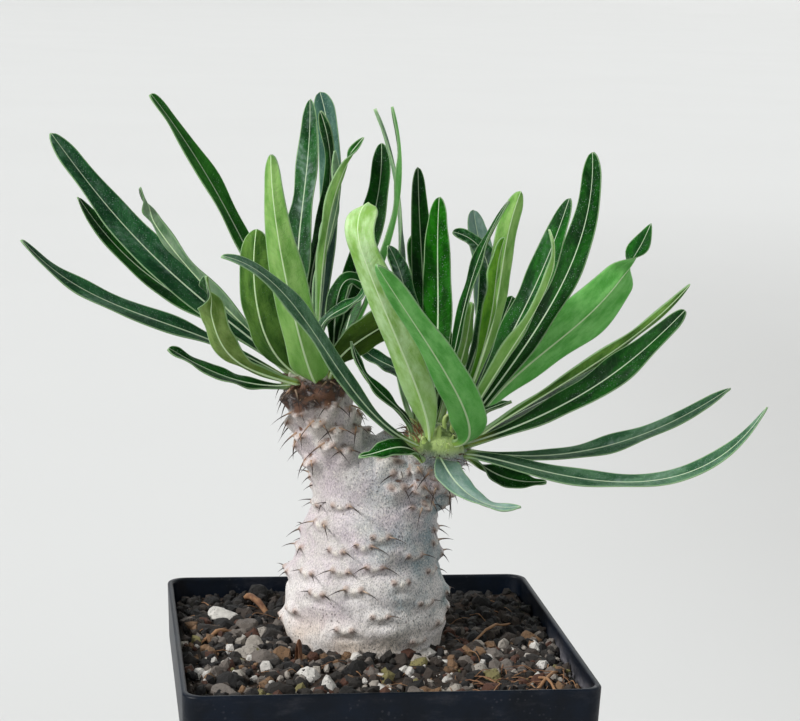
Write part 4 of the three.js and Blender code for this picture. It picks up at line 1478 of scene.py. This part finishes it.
            # loose stones darker towards the back, as painted shade
            kinds.append(draws.next() * self.back_shade(x, y) if loose else self.stones[i][4])
        settings = {"Faces": 3, "Roughness": 0.3, "Seed": 3, "Material": grit}
        plant("stones", "soil", places, {"size": sizes, "kind": kinds}, tree, settings)
        places, sizes, kinds = [], [], []
        while len(places) < self.crumb_count:
            x, y = draws.between(-self.half, self.half), draws.between(-self.half, self.half)
            size = 0.35 + 1.9 * draws.next() ** 2.4
            corner = abs(x) + abs(y) + size
            if math.hypot(x, y - TRUNK_Y) < self.foot or corner > self.crumb_corner:
                continue
            places.append((x, y, self.top + self.relief(x, y) + 0.3 * size))
            sizes.append([size * draws.between(0.6, 1) * MM for _ in range(3)])
            # crumbs darker towards the back, as painted shade
            kinds.append(draws.next() * self.back_shade(x, y))
        settings = {"Faces": 1, "Roughness": 0.2, "Seed": 11, "Material": grit}
        plant("crumbs", "soil", places, {"size": sizes, "kind": kinds}, tree, settings)

    def fibres(self) -> None:
        """Lays twigs, bark strips and root bits."""
        draws = Draws(23)
        runs = list(self.twigs)
        for _ in range(self.corner_strays):
            x, y = draws.between(24, 40), draws.between(-39, -18)
            runs.append(self.stray(draws, x, y, 5, 12))
        for _ in range(self.strays):
            x, y = draws.between(-40, 40), draws.between(-40, 40)
            if math.hypot(x, y - TRUNK_Y) > self.stray_foot:
                runs.append(self.stray(draws, x, y, 3, 10))
        points, faces, tones = [], [], []
        for line, girth, tone, rise in runs:
            made = self.strand([Vector((x, y, 0)) for x, y in line], girth, rise, draws)
            faces += tube_faces(len(made) // self.strand_sides, self.strand_sides, len(points))
            points += made
            tones += [tone] * len(made)
        piece = new_piece("root_bits", points, faces, self.fibre.material())
        keep_values(piece, {"tone": tones})
        publish(piece, "soil")

    def stray(self, draws: Draws, x: float, y: float, short: float, long: float) -> tuple:
        """A bent fibre that starts at a place.

        Args:
            draws: the repeatable draw.
            x: its start along x.
            y: its start along y.
            short: its least length.
            long: its greatest length.

        Returns:
            Its line, girth, tone and rise.
        """
        angle = draws.between(0, 2 * math.pi)
        reach = draws.between(short, long)
        bent = angle + draws.between(-1.2, 1.2)
        mid = (x + 0.5 * reach * math.cos(angle), y + 0.5 * reach * math.sin(angle))
        end = (mid[0] + 0.5 * reach * math.cos(bent), mid[1] + 0.5 * reach * math.sin(bent))
        line = np.clip(((x, y), mid, end), -self.stray_reach, self.stray_reach).tolist()
        return line, draws.between(0.06, 0.16), 0.7 * draws.next(), draws.between(0.2, 1.6)

    def strand(self, line: list[Vector], girth: float, rise: float, draws: Draws) -> list:
        """Points of one fibre's tube.

        Args:
            line: start, middle and end on the bed's level.
            girth: its radius.
            rise: how far its middle stands off the bed.
            draws: the repeatable draw.

        Returns:
            A ring of points for each of its stations.
        """
        made = []
        for i in range(self.strand_steps + 1):
            t = i / self.strand_steps
            spot = line[0] * (1 - t) ** 2 + line[1] * 2 * t * (1 - t) + line[2] * t**2
            step = (line[1] - line[0]) * (1 - t) + (line[2] - line[1]) * t
            side = Vector((-step.y, step.x, 0)).normalized()
            height = self.top + self.relief(spot.x, spot.y) + 0.5 + rise * math.sin(math.pi * t)
            thin = girth * (0.75 + 0.25 * math.sin(math.pi * t)) * draws.between(0.85, 1.1)
            for turn in turns(self.strand_sides):
                offset = side * math.cos(turn) * thin + Vector((0, 0, 1)) * math.sin(turn) * thin
                made.append((spot.x + offset.x, spot.y + offset.y, height + offset.z))
        return made


# Leaves
@dataclass(frozen=True)
class Blade:
    """Colours of one kind of leaf: upper and lower side, frost and quilting."""

    name: str
    upper: Steps
    upper_deep: Steps
    under: Steps
    under_deep: Steps
    frost: float = 0.2
    rib: Steps = (200, 220, 188)
    keel: Steps = (216, 240, 192)
    rim: Steps = (160, 190, 146)
    silver: Steps = (158, 180, 172)
    base: Steps = (168, 194, 92)
    # painted shade colour of the upper side near the leaf's base
    hollow: Steps = (12.93, 38.68, 6.59)
    night: Steps = (17.89, 38.68, 21.96)

    def material(self) -> Material:
        """Builds the leaf's finish.

        Returns:
            The material.
        """
        paint = Paint(f"leaf_{self.name}", 0.45)
        across, half, along = paint.axes(paint.attribute("blade", "Vector"))
        share = paint.attribute("share")
        face = paint.attribute("face")
        away = paint.times(paint.calc("ABSOLUTE", across), half)
        parts = {0: paint.times(across, half), 1: along, 2: face}
        flat = paint.out("ShaderNodeCombineXYZ", parts)
        drift = paint.noise(paint.stretch(flat, 1, 0.45, 1), 0.3, 4.0, 0.6)
        slope = paint.calc("SUBTRACT", along, paint.times(away, 0.7))
        wobble = paint.times(paint.noise(flat, 0.6), 3.2)
        wave = paint.calc("SINE", paint.times(paint.calc("ADD", slope, wobble), 3.6))
        veins = paint.band(wave, 0.55, 1.0)
        hair = paint.speckle(flat, 2.3, 0.27, 0.5 - 0.3 * self.frost)
        veil = paint.band(drift, 0.62 - 0.24 * self.frost, 0.9 - 0.22 * self.frost)
        beside = paint.times(paint.band(away, 1.5, 0.5), paint.band(drift, 0.4, 0.6))
        veil = paint.calc("MAXIMUM", veil, paint.times(beside, 0.7 * self.frost))
        bloom = paint.times(veil, paint.band(wave, -1.0, 1.0, 0.45, 1.0), 0.8 * self.frost)
        frost = paint.calc("MAXIMUM", paint.times(hair, 0.42), bloom)
        upper = paint.mottle(paint.stretch(flat, 1, 0.4, 1), 0.45, self.upper, self.upper_deep)
        upper = paint.layer(upper, ((paint.times(veins, 0.02), self.rim), (frost, self.silver)))
        under = paint.mottle(paint.stretch(flat, 1, 0.3, 1), 0.35, self.under, self.under_deep)
        under = paint.blend(paint.times(veins, 0.08), under, self.under_deep)
        under = paint.blend(paint.times(hair, 0.16), under, self.silver)
        # painted shade: both sides darken towards the leaf's base, in patches
        base_shade = paint.times(paint.band(share, 0.62, 0.12), paint.band(drift, 0.2, 0.6, 0.25, 0.6))
        width = paint.band(share, 0.0, 1.0, 0.3, 0.08, "LINEAR")
        width = paint.times(width, paint.band(face, 0.0, 1.0, 1.2, 1.0))
        rib = paint.band(paint.calc("DIVIDE", away, width), 1.0, 0.6)
        rim = paint.band(paint.calc("SUBTRACT", half, away), 0.26, 0.1)
        layers = (
            (base_shade, paint.blend(face, self.under_deep, self.hollow)),
            (paint.times(paint.band(share, 0.12, 0.0), 0.8), self.base),
            (paint.times(rib, 0.92), paint.blend(face, self.keel, self.rib)),
            (paint.times(rim, 0.66), self.rim),
            (paint.band(paint.attribute("tone"), 0.0, 1.0, 0.0, 0.24), self.night),
        )
        grain = paint.noise(flat, 3.0, 3.0, 0.7)
        paint.bump(paint.calc("ADD", paint.times(veins, -0.5), grain), 0.35, 0.0003)
        return paint.close(
            paint.layer(paint.blend(face, under, upper), layers),
            Roughness=paint.band(frost, 0.0, 0.6, 0.4, 0.62),
            Specular_IOR_Level=0.06,
            Subsurface_Weight=0.12,
            Subsurface_Radius=(0.3, 1.0, 0.15),
            Subsurface_Scale=0.0015,
        )


class Leafage(Enum):
    """The kinds of leaf on the plant."""

    VIVID = Blade("vivid", (26, 104, 6), (8, 60, 2), (130, 190, 62), (76, 138, 34), 0.05)
    DEEP = Blade("deep", (20, 82, 14), (5, 44, 8), (96, 134, 58), (48, 86, 30), 0.16)
    DARK = Blade("dark", (24, 66, 14), (8, 38, 6), (70, 98, 28), (38, 60, 12), 0.04)
    BLUE = Blade("blue", (46, 94, 58), (20, 60, 34), (134, 162, 130), (86, 120, 86), 0.4)
    MIST = Blade("mist", (86, 124, 94), (46, 86, 58), (140, 170, 134), (92, 130, 92), 0.5)
    PALE = Blade("pale", (36, 96, 28), (16, 62, 16), (154, 196, 112), (108, 160, 72), 0.08)
    BRIGHT = Blade("bright", (48, 116, 34), (26, 88, 20), (198, 230, 172), (136, 182, 86), 0.02)
    OLIVE = Blade("olive", (38, 76, 34), (16, 46, 18), (132, 158, 88), (84, 114, 46), 0.16)
    SILVER = Blade("silver", (40, 98, 42), (14, 58, 22), (140, 166, 134), (84, 122, 84), 0.7)
    JADE = Blade("jade", (36, 110, 28), (14, 70, 18), (138, 210, 118), (92, 172, 76), 0.08)
    SLATE = Blade("slate", (84, 118, 104), (52, 88, 76), (150, 172, 164), (112, 142, 132), 0.3)
    FROSTED = Blade("frosted", (32, 102, 26), (10, 56, 14), (140, 166, 134), (84, 122, 84), 0.36)
    ASH = Blade("ash", (154, 178, 168), (110, 144, 132), (158, 178, 160), (120, 146, 124), 0.4)


VIVID, DEEP, DARK, BLUE, MIST, PALE, BRIGHT, OLIVE, SILVER, JADE, SLATE, FROSTED, ASH = Leafage


@dataclass(frozen=True)
class Leaf:
    """One leaf: its seat, the places that its rib passes, width, roll and finish."""

    seat: tuple[float, float]
    knee: Steps
    bow: Steps
    tip: Steps
    width: float
    roll: tuple[float, float]
    kind: Leafage
    curl: float = 0.0
    broad: float = 0.55
    taper: float = 0.5
    point: float = 0.5
    twist: float = 0.0
    quilt: float = 0.0
    wave: float = 0.3


LEFT_LEAVES = [
    Leaf((150, 40), (-28, 9, 164), (-39, 12, 184), (-51, 13, 201), 6, (-30, -30), BRIGHT),
    Leaf((170, 25), (-41, 6, 157), (-57, 10, 172), (-73, 12, 192), 8, (-55, -50), BLUE, broad=0.4),
    Leaf((150, 10), (-36, 14, 150), (-52, 19, 160), (-67, 20, 177), 6, (-40, -35), DEEP),
    Leaf((-175, 0), (-42, 0, 149), (-62, -2, 157), (-79, -3, 170), 6.5, (-30, -35), BLUE, point=0.7),
    Leaf(
        (-135, 5), (-31, -9, 144), (-37, -16, 152), (-40, -22, 165), 6.4, (50, 5), OLIVE, twist=150,
        broad=0.7, point=0.15, wave=0.5,
    ),
    Leaf(
        (-167, 36), (-32, -1.5, 153.5), (-45.5, 2.5, 167.5), (-53.5, 3, 181), 3.6, (30, 60), SILVER,
        twist=150, point=0.4, wave=0.6,
    ),
    Leaf(
        (-90, 20), (-17.5, -9, 147), (-23.4, -18, 168.5), (-26.5, -22, 191), 9.2, (15, 5), PALE,
        broad=0.25, taper=0.65, point=0.72,
    ),
    Leaf(
        (-140, 30), (-25, -5, 148.5), (-28.5, -10, 161), (-28.5, -12, 174), 8.5, (25, 5), DEEP,
        broad=0.3, taper=0.35,
    ),
    Leaf((-155, -5), (-29, -2, 138), (-38, -2, 141), (-47, -2, 146), 5, (-25, -30), DEEP),
    Leaf((2, 38), (-9, 6, 151), (-7, 9, 159), (-1, 8, 158), 5.5, (15, 5), DEEP),
    Leaf((-15, 60), (-12, 2, 151), (-7, 1, 155), (-3, -1, 160), 5.5, (25, 25), SILVER),
    Leaf((-45, 20), (-8, -5, 146), (-1.5, -6, 151), (6, -6.5, 156), 7.6, (-70, -65), DARK, taper=0.3),
    Leaf(
        (110, 50), (-17, 14, 162), (-15, 21, 180), (-14, 24, 200), 7, (-30, -30), SILVER, broad=0.4,
        taper=0.6, quilt=0.14, wave=0.5,
    ),
    Leaf((70, 25), (-10, 20, 160), (-8, 30, 181), (-10.5, 36, 201), 6, (-55, -20), SLATE, point=0.2),
    Leaf((95, 30), (-13, 17, 162), (-9, 24, 179), (-11, 29, 197), 5, (-30, -55), DEEP),
    Leaf(
        (65, 75), (-12.6, 6, 164.5), (-9.4, 9, 181), (-3, 10, 192.5), 3.4, (-80, -70), PALE, twist=120,
        point=0.6,
    ),
    Leaf(
        (75, 50), (-12, 12, 162), (-8.6, 16, 176), (-8.8, 19, 188.5), 5.4, (-105, -105), MIST,
        quilt=0.08,
    ),
    Leaf((50, 15), (-4, 20, 156), (2, 28, 172), (4, 32, 189.5), 7, (10, -5), DEEP),
    Leaf((25, 25), (1, 12, 161), (6, 16, 180), (4, 17, 199), 5, (-55, -62), JADE, point=0.85),
    Leaf((120, 10), (-21, 22, 143), (-23, 36, 147), (-24, 50, 150), 7, (0, 0), DEEP),
    Leaf((75, 5), (-6, 22, 142.5), (-2, 38, 146), (1, 52, 149), 7, (0, 0), VIVID),
    Leaf((98, 0), (-14, 22, 144), (-14, 38, 148), (-13.5, 54, 152), 6.5, (0, 0), DEEP),
]
RIGHT_LEAVES = [
    Leaf((-142, 16), (-8, -17, 140), (-22, -32, 160), (-38, -42, 172), 6, (-75, -60), MIST, point=0.7),
    Leaf((126, 27), (7, 18, 145), (8, 23, 168), (1.6, 26, 198), 4, (60, 45), MIST, point=0.85),
    Leaf((160, 48), (9, 7, 145), (7, 9, 158), (3, 9, 168), 5.5, (-20, -30), SILVER, quilt=0.16),
    Leaf(
        (-122, 35), (6.8, -12, 141), (-3.6, -23, 163), (-11, -27, 183.5), 7.4, (30, 10), BRIGHT,
        curl=110, broad=0.3, taper=0.3, point=0.1,
    ),
    Leaf(
        (-60, 28), (18, -15, 134.5), (6, -30, 153.5), (-6.5, -45, 171), 8.6, (20, 5), JADE, broad=0.28,
        taper=0.7, point=0.6,
    ),
    Leaf((-168, 24), (5, -4, 132), (-2, -8, 139), (-7, -9, 149), 3.8, (-35, -60), DEEP, point=0.8),
    Leaf((152, 34), (8, 9, 137), (3, 14, 140), (-4, 17, 146), 5, (-15, -15), BLUE),
    Leaf((110, 45), (13, 13, 147), (12, 18, 166), (11, 20, 185), 5.5, (0, 0), DEEP),
    Leaf((92, 34), (18, 14, 144), (13, 21, 157), (11, 22, 169), 5, (5, 10), VIVID),
    Leaf(
        (120, 65), (15, 8, 148), (15, 11, 163), (15, 12, 179), 6.8, (-15, -15), VIVID, broad=0.4,
        taper=0.35,
    ),
    Leaf((55, 15), (29, 24, 145), (30, 34, 160), (28, 40, 173), 7.6, (40, 20), ASH),
    Leaf((70, 30), (27, 18, 147), (29, 25, 162), (21, 28, 169), 5.5, (50, -10), SILVER, quilt=0.16),
    Leaf(
        (45, 35), (28, 12, 149), (31, 16, 164), (35, 18, 180), 5.6, (-125, -115), PALE, taper=0.3,
        point=0.35,
    ),
    Leaf((45, 85), (19, 3, 148), (23, 5, 164), (30, 6, 179), 5.4, (-10, 0), DEEP, point=0.8),
    Leaf((30, 50), (26, 8, 148), (28, 10, 160), (30, 11, 170), 5, (-85, -80), VIVID),
    Leaf((80, 62), (20, 8, 140), (22, 10, 147), (23, 10, 155), 3.5, (-130, -110), PALE),
    Leaf((-5, 40), (29, 1, 145), (36.5, 0, 162), (42.6, -1, 180.5), 7.2, (45, 45), FROSTED, taper=0.35),
    Leaf((15, 30), (36, 7, 146), (47, 9, 167), (50, 10, 190), 7.6, (30, 30), DEEP, taper=0.4),
    Leaf(
        (-48, 34), (27.5, -9, 146), (35, -13, 162), (35, -15, 175), 4.4, (-30, 5), PALE, broad=0.3,
        taper=0.75, point=0.9,
    ),
    Leaf(
        (24, 14), (37, 13, 139.5), (54, 18, 152.5), (67.5, 21, 172.5), 12.2, (-90, -105), JADE,
        twist=150, broad=0.66, taper=0.4, point=0.8, wave=0.5,
    ),
    Leaf((0, 15), (39.5, 2, 135.4), (57, 1, 147.2), (72, 1, 161), 3.4, (-45, -85), DEEP, point=0.7),
    Leaf(
        (-20, 15), (41, -6, 133.4), (56.5, -7, 144), (69, -7, 156), 8, (45, 45), DEEP, point=0.65,
        wave=0.5,
    ),
    Leaf((14, -2), (43, 4, 120), (64, 4, 125), (84, 4, 136), 5.6, (30, 25), MIST, point=0.7),
    Leaf(
        (-30, -5), (36, -9, 119.5), (63, -13, 118), (87.5, -13, 135), 5.6, (20, 30), MIST, broad=0.4,
        point=0.6,
    ),
    Leaf((-10, -5), (27, 1, 117), (33, 0, 115), (40, -1, 115), 5.2, (35, 35), DEEP, point=0.8),
    Leaf(
        (-95, -5), (15, -14, 120), (19.5, -21, 116), (29, -26, 115.5), 6.5, (-45, 60), ASH, broad=0.35,
        taper=0.7, point=0.85,
    ),
    Leaf(
        (-125, -10), (5, -10, 125), (0, -13, 125), (-5.5, -14, 124), 5.2, (-10, -60), DEEP, broad=0.4,
        taper=0.6, point=0.85,
    ),
    Leaf((106, 19), (17, 20, 136), (16, 36, 144), (16, 50, 151), 6.5, (0, 0), DEEP),
    Leaf((80, 6), (26, 21, 133), (34, 38, 141), (41, 52, 150), 7, (0, 0), VIVID),
    Leaf((40, -8), (37, 18, 127), (52, 30, 131), (65, 42, 135), 7, (0, 0), DEEP),
    Leaf((-20, 42), (22.5, -2.7, 130.5), (26, -3.2, 132.6), (30.5, -3.6, 134.4), 2.6, (20, 20), OLIVE),
]


@dataclass
class Foliage:
    """All the leaves of one crown."""

    side: str
    crown: Crown
    leaves: list
    stations: int = 64
    columns: int = 16
    petiole: float = 0.24
    fold: float = 12.0
    ripples: float = 2.9
    curl_start: float = 0.8
    twist_from: float = 0.8
    twist_to: float = 0.95
    tip_power: float = 1.6
    tip_length: float = 0.08
    seat_depth: float = 0.4
    middle: float = 0.8
    margin: float = 0.32
    vein_pitch: float = 3.6
    vein_slant: float = 0.7

    def outline(self, leaf: Leaf, share: np.ndarray) -> np.ndarray:
        """Narrows the blade to its petiole and its tip.

        Args:
            leaf: the leaf.
            share: stations along its rib.

        Returns:
            Half the blade's width there, as a share of its widest.
        """
        body = self.petiole + (1 - self.petiole) * smooth(share, 0, leaf.broad)
        to_tip = np.clip((share - 1 + leaf.taper) / leaf.taper, 0, 1)
        to_end = np.clip((share - 1 + self.tip_length) / self.tip_length, 0, 1)
        narrowed = body * (1 - leaf.point * to_tip**self.tip_power)
        return np.maximum(0.02, narrowed * np.sqrt(1 - to_end**2))

    def frames(self, leaf: Leaf, shares: np.ndarray) -> tuple[np.ndarray, np.ndarray, np.ndarray]:
        """Follows the rib, with its curl.

        Args:
            leaf: the leaf.
            shares: stations along its rib.

        Returns:
            Rib points, rib directions and upper-side directions, a row for each station.
        """
        bearing, height = (math.radians(v) for v in leaf.seat)
        level = math.cos(height)
        outward = np.array([level * math.cos(bearing), level * math.sin(bearing), math.sin(height)])
        start = np.array(self.crown.centre) + outward * (self.crown.radius - self.seat_depth)
        knee, bow, tip = (np.array(p, float) for p in (leaf.knee, leaf.bow, leaf.tip))
        first = (-5 * start + 18 * knee - 9 * bow + 2 * tip) / 6
        second = (2 * start - 9 * knee + 18 * bow - 5 * tip) / 6
        line = (start, first, second, tip)
        hinge, along, above = self.frame(leaf, line, self.curl_start)
        reach = float(np.linalg.norm(hinge - tip))
        rows = []
        for share in shares:
            if leaf.curl == 0 or share <= self.curl_start:
                rows.append(self.frame(leaf, line, float(share)))
                continue
            full = math.radians(leaf.curl)
            angle = full * (share - self.curl_start) / (1 - self.curl_start)
            bend = reach / full
            sine, cosine = math.sin(angle), math.cos(angle)
            point = hinge + along * bend * sine + above * bend * (1 - cosine)
            rows.append((point, along * cosine + above * sine, above * cosine - along * sine))
        points, runs, uppers = zip(*rows)
        return np.array(points), np.array(runs), np.array(uppers)

    def frame(self, leaf: Leaf, line: tuple, share: float) -> tuple[np.ndarray, np.ndarray, np.ndarray]:
        """Follows the uncurled rib to one station.

        Args:
            leaf: the leaf.
            line: the four control points of its rib.
            share: the station.

        Returns:
            The rib point, the rib's direction and the upper side's direction.
        """
        start, first, second, tip = line
        radial = (tip - start) * (1, 1, 0)
        inward = np.array([0, 0, 1]) - radial / np.linalg.norm(radial)
        s, c = share, 1 - share
        point = c**3 * start + 3 * c * c * s * first + 3 * c * s * s * second + s**3 * tip
        run = c * c * (first - start) + 2 * c * s * (second - first) + s * s * (tip - second)
        run = run / np.linalg.norm(run)
        upper = inward - run * inward.dot(run)
        upper = upper / np.linalg.norm(upper)
        rolled = leaf.roll[0] + (leaf.roll[1] - leaf.roll[0]) * share
        twisted = leaf.twist * float(smooth(share, self.twist_from, self.twist_to))
        roll = math.radians(rolled + twisted)
        return point, run, upper * math.cos(roll) + np.cross(run, upper) * math.sin(roll)

    def build_leaf(self, number: int, leaf: Leaf, material: Material) -> None:
        """Makes one leaf.

        Args:
            number: its number on the crown, from 1.
            leaf: its data.
            material: its finish.
        """
        draws = Draws(number * 97 + len(self.side))
        phase = 1.7 * (number - 1)
        even = np.linspace(0, 1, self.stations)
        shares = 0.5 * even + 0.5 * np.sin(math.pi / 2 * even)
        points, runs, uppers = self.frames(leaf, shares)
        sides = np.cross(runs, uppers)
        steps = np.linalg.norm(np.diff(points, axis=0), axis=1)
        lengths = np.concatenate([[0], np.cumsum(steps)])
        x = np.linspace(-1, 1, self.columns + 1)
        x = np.sign(x) * np.abs(x) ** 0.9
        half = leaf.width / 2 * self.outline(leaf, shares)
        turn = [draws.between(0, 6.28) for _ in range(4)]
        edges = []
        for offset in turn[:2]:
            uneven = 0.05 * np.sin(9 * shares + offset) + 0.035 * np.sin(23 * shares + 2 * offset)
            uneven = uneven * smooth(shares, 0.1, 0.4) * (1 - smooth(shares, 0.86, 1))
            edges.append(half * (1 + uneven))
        wide = np.where(x < 0, edges[0][:, None], edges[1][:, None])
        span = np.abs(x)
        away = span * wide
        station = shares[:, None]
        settle = np.minimum(1, 3 * station)
        lift = (np.sqrt(away**2 + 0.05) - math.sqrt(0.05)) * math.tan(math.radians(self.fold))
        beat = 2 * math.pi * self.ripples * station + phase + 2 * np.sign(x)
        lift = lift + leaf.wave * settle * np.sin(beat) * span**1.6
        flutter = np.sin(31 * station + turn[2] + 1.5 * np.sign(x))
        lift = lift + 0.1 * settle * flutter * span**2.5
        slope = lengths[:, None] - self.vein_slant * away
        body = smooth(away, 0.4, 0.9) * (1 - smooth(span, 0.75, 1.0)) * settle
        lift = lift + (0.03 + leaf.quilt) * np.cos(self.vein_pitch * slope + turn[3]) * body
        edge = self.margin + (self.middle - self.margin) * (1 - span**1.6)
        root = 1 + 0.7 * (1 - smooth(station, 0.0, 0.12))
        thick = edge / 2 * (0.75 + 0.25 * (1 - station)) * root
        ridge = np.exp(-((away / 0.5) ** 2)) * (0.5 - 0.3 * station)
        groove = np.exp(-((away / 0.35) ** 2)) * 0.14
        level = points[:, None, :] + sides[:, None, :] * (x * wide)[:, :, None]
        top = level + uppers[:, None, :] * (lift + thick - groove)[:, :, None]
        low = level + uppers[:, None, :] * (lift - thick - ridge)[:, :, None]
        ring = np.concatenate([low[:, ::-1, :], top], axis=1)
        columns = ring.shape[1]
        faces = tube_faces(self.stations, columns)
        name = f"{self.side}_blade_{number:02d}"
        piece = new_piece(name, ring.reshape(-1, 3), faces, material)
        spread = np.tile(np.concatenate([x[::-1], x]), self.stations)
        widths = np.concatenate([wide[:, ::-1], wide], axis=1).ravel()
        values = {
            "blade": np.stack([spread, widths, np.repeat(lengths, columns)], axis=1),
            "share": np.repeat(shares, columns),
            "face": np.tile(np.repeat([0, 1], len(x)), self.stations),
            "tone": np.full(len(widths), draws.next()),
        }
        keep_values(piece, values)
        publish(piece, "leaf", f"{self.side}_leaf_{number:02d}")

    def build(self, finishes: dict[Leafage, Material]) -> None:
        """Makes every leaf of the crown."""
        for number, leaf in enumerate(self.leaves, 1):
            self.build_leaf(number, leaf, finishes[leaf.kind])


# Studio
@dataclass(frozen=True)
class PaleFloor:
    """A pale matt floor, with painted shade that makes it darker beside the plant on the right."""

    pale: Steps = (215, 216, 216)
    shaded: Steps = (182, 182, 181)

    def material(self) -> Material:
        """Builds the floor's finish.

        Returns:
            The material.
        """
        paint = Paint("pale_floor", 0.9)
        x, y, _ = paint.axes(paint.place)
        # painted shade on the floor, to the right and towards the camera
        near = paint.times(paint.band(x, 0.0, 0.4), paint.band(y, 2.0, 0.1), 0.8)
        cloud = paint.times(paint.noise(paint.place, 3.0, 2.0), 0.12)
        return paint.close(paint.blend(paint.calc("ADD", cloud, near), self.pale, self.shaded))


@dataclass
class Studio:
    """A plain pale floor, soft lights and the camera at the photograph's angle."""

    camera_place: Steps = (-64.52, -475.9, 230.02)
    azimuth: float = -8.336
    elevation: float = 10.25
    roll: float = 1.67
    lens: float = 97.3
    sensor: float = 36.0
    ambient: float = 0.5
    floor_columns: int = 96
    finish: PaleFloor = PaleFloor()

    def build(self) -> None:
        """Sets up floor, light and camera."""
        self.lay_floor()
        self.light("key", (-0.76, -0.3, 0.58), 14.0, 3.2, (1.0, 0.99, 0.97))
        self.light("back", (0.05, 0.8, 0.6), 50.0, 0.9, (0.97, 1.0, 1.0))
        self.light("fill", (0.45, -0.85, 0.3), 70.0, 0.7, (0.97, 1.0, 1.0))
        world = bpy.data.worlds.new("soft_room")
        world.use_nodes = True
        sky = world.node_tree.nodes["Background"]
        sky.inputs["Color"].default_value = linear(self.finish.pale)
        sky.inputs["Strength"].default_value = self.ambient
        bpy.context.scene.world = world
        bpy.context.scene.view_settings.view_transform = "Standard"
        self.stand_camera()

    def lay_floor(self) -> None:
        """Lays a wide floor that curves up into a wall all round."""
        rows = [(900.0, 0.0), (12000.0, 0.0), (14000.0, 150.0), (17000.0, 1000.0)]
        rows += [(19000.0, 3000.0), (20000.0, 8000.0)]
        count = self.floor_columns
        points = [(0.0, 0.0, 0.0)]
        for radius, z in rows:
            points += [(radius * math.cos(a), radius * math.sin(a), z) for a in turns(count)]
        faces = [(0, 1 + i, 1 + (i + 1) % count) for i in range(count)]
        faces += [tuple(reversed(face)) for face in strip_faces(len(rows), count, 1)]
        new_piece("floor", points, faces, self.finish.material())

    def light(self, name: str, toward: Steps, spread: float, strength: float, colour: Steps) -> None:
        """Hangs one wide, far light.

        Args:
            name: the light's name.
            toward: the direction from the plant to the light.
            spread: its apparent width in degrees.
            strength: its strength.
            colour: its linear colour.
        """
        data = bpy.data.lights.new(name, "SUN")
        data.angle, data.energy, data.color = math.radians(spread), strength, colour
        lamp = show(name, data)
        lamp.rotation_euler = Vector(toward).to_track_quat("Z", "Y").to_euler()

    def stand_camera(self) -> None:
        """Stands the camera where the photograph was taken from."""
        a, e, r = (math.radians(v) for v in (self.azimuth, self.elevation, self.roll))
        back = Vector((math.sin(a) * math.cos(e), -math.cos(a) * math.cos(e), math.sin(e)))
        right = Vector((0, 0, 1)).cross(back).normalized()
        up = back.cross(right)
        across = right * math.cos(r) + up * math.sin(r)
        above = up * math.cos(r) - right * math.sin(r)
        data = bpy.data.cameras.new("camera")
        data.lens, data.sensor_width = self.lens, self.sensor
        data.clip_start, data.clip_end = 0.01, 60.0
        camera = show("camera", data)
        turn = Matrix((across, above, back)).transposed().to_4x4()
        camera.matrix_world = Matrix.Translation(Vector(self.camera_place) * MM) @ turn
        bpy.context.scene.camera = camera


def main() -> None:
    """Builds the studio, then the pot, soil, trunk and leaves."""
    logging.basicConfig(level=logging.INFO, format="%(name)s: %(message)s")
    Studio().build()
    share_effects()
    pot = Pot()
    pot.build()
    soil = Soil()
    soil.bed(pot)
    soil.gravel()
    soil.fibres()
    caudex = Caudex()
    caudex.find_sites()
    caudex.body()
    caudex.spines()
    caudex.dress_crowns()
    finishes = {kind: kind.value.material() for kind in Leafage}
    Foliage("left", LEFT_CROWN, LEFT_LEAVES).build(finishes)
    Foliage("right", RIGHT_CROWN, RIGHT_LEAVES).build(finishes)


if __name__ == "__main__":
    main()
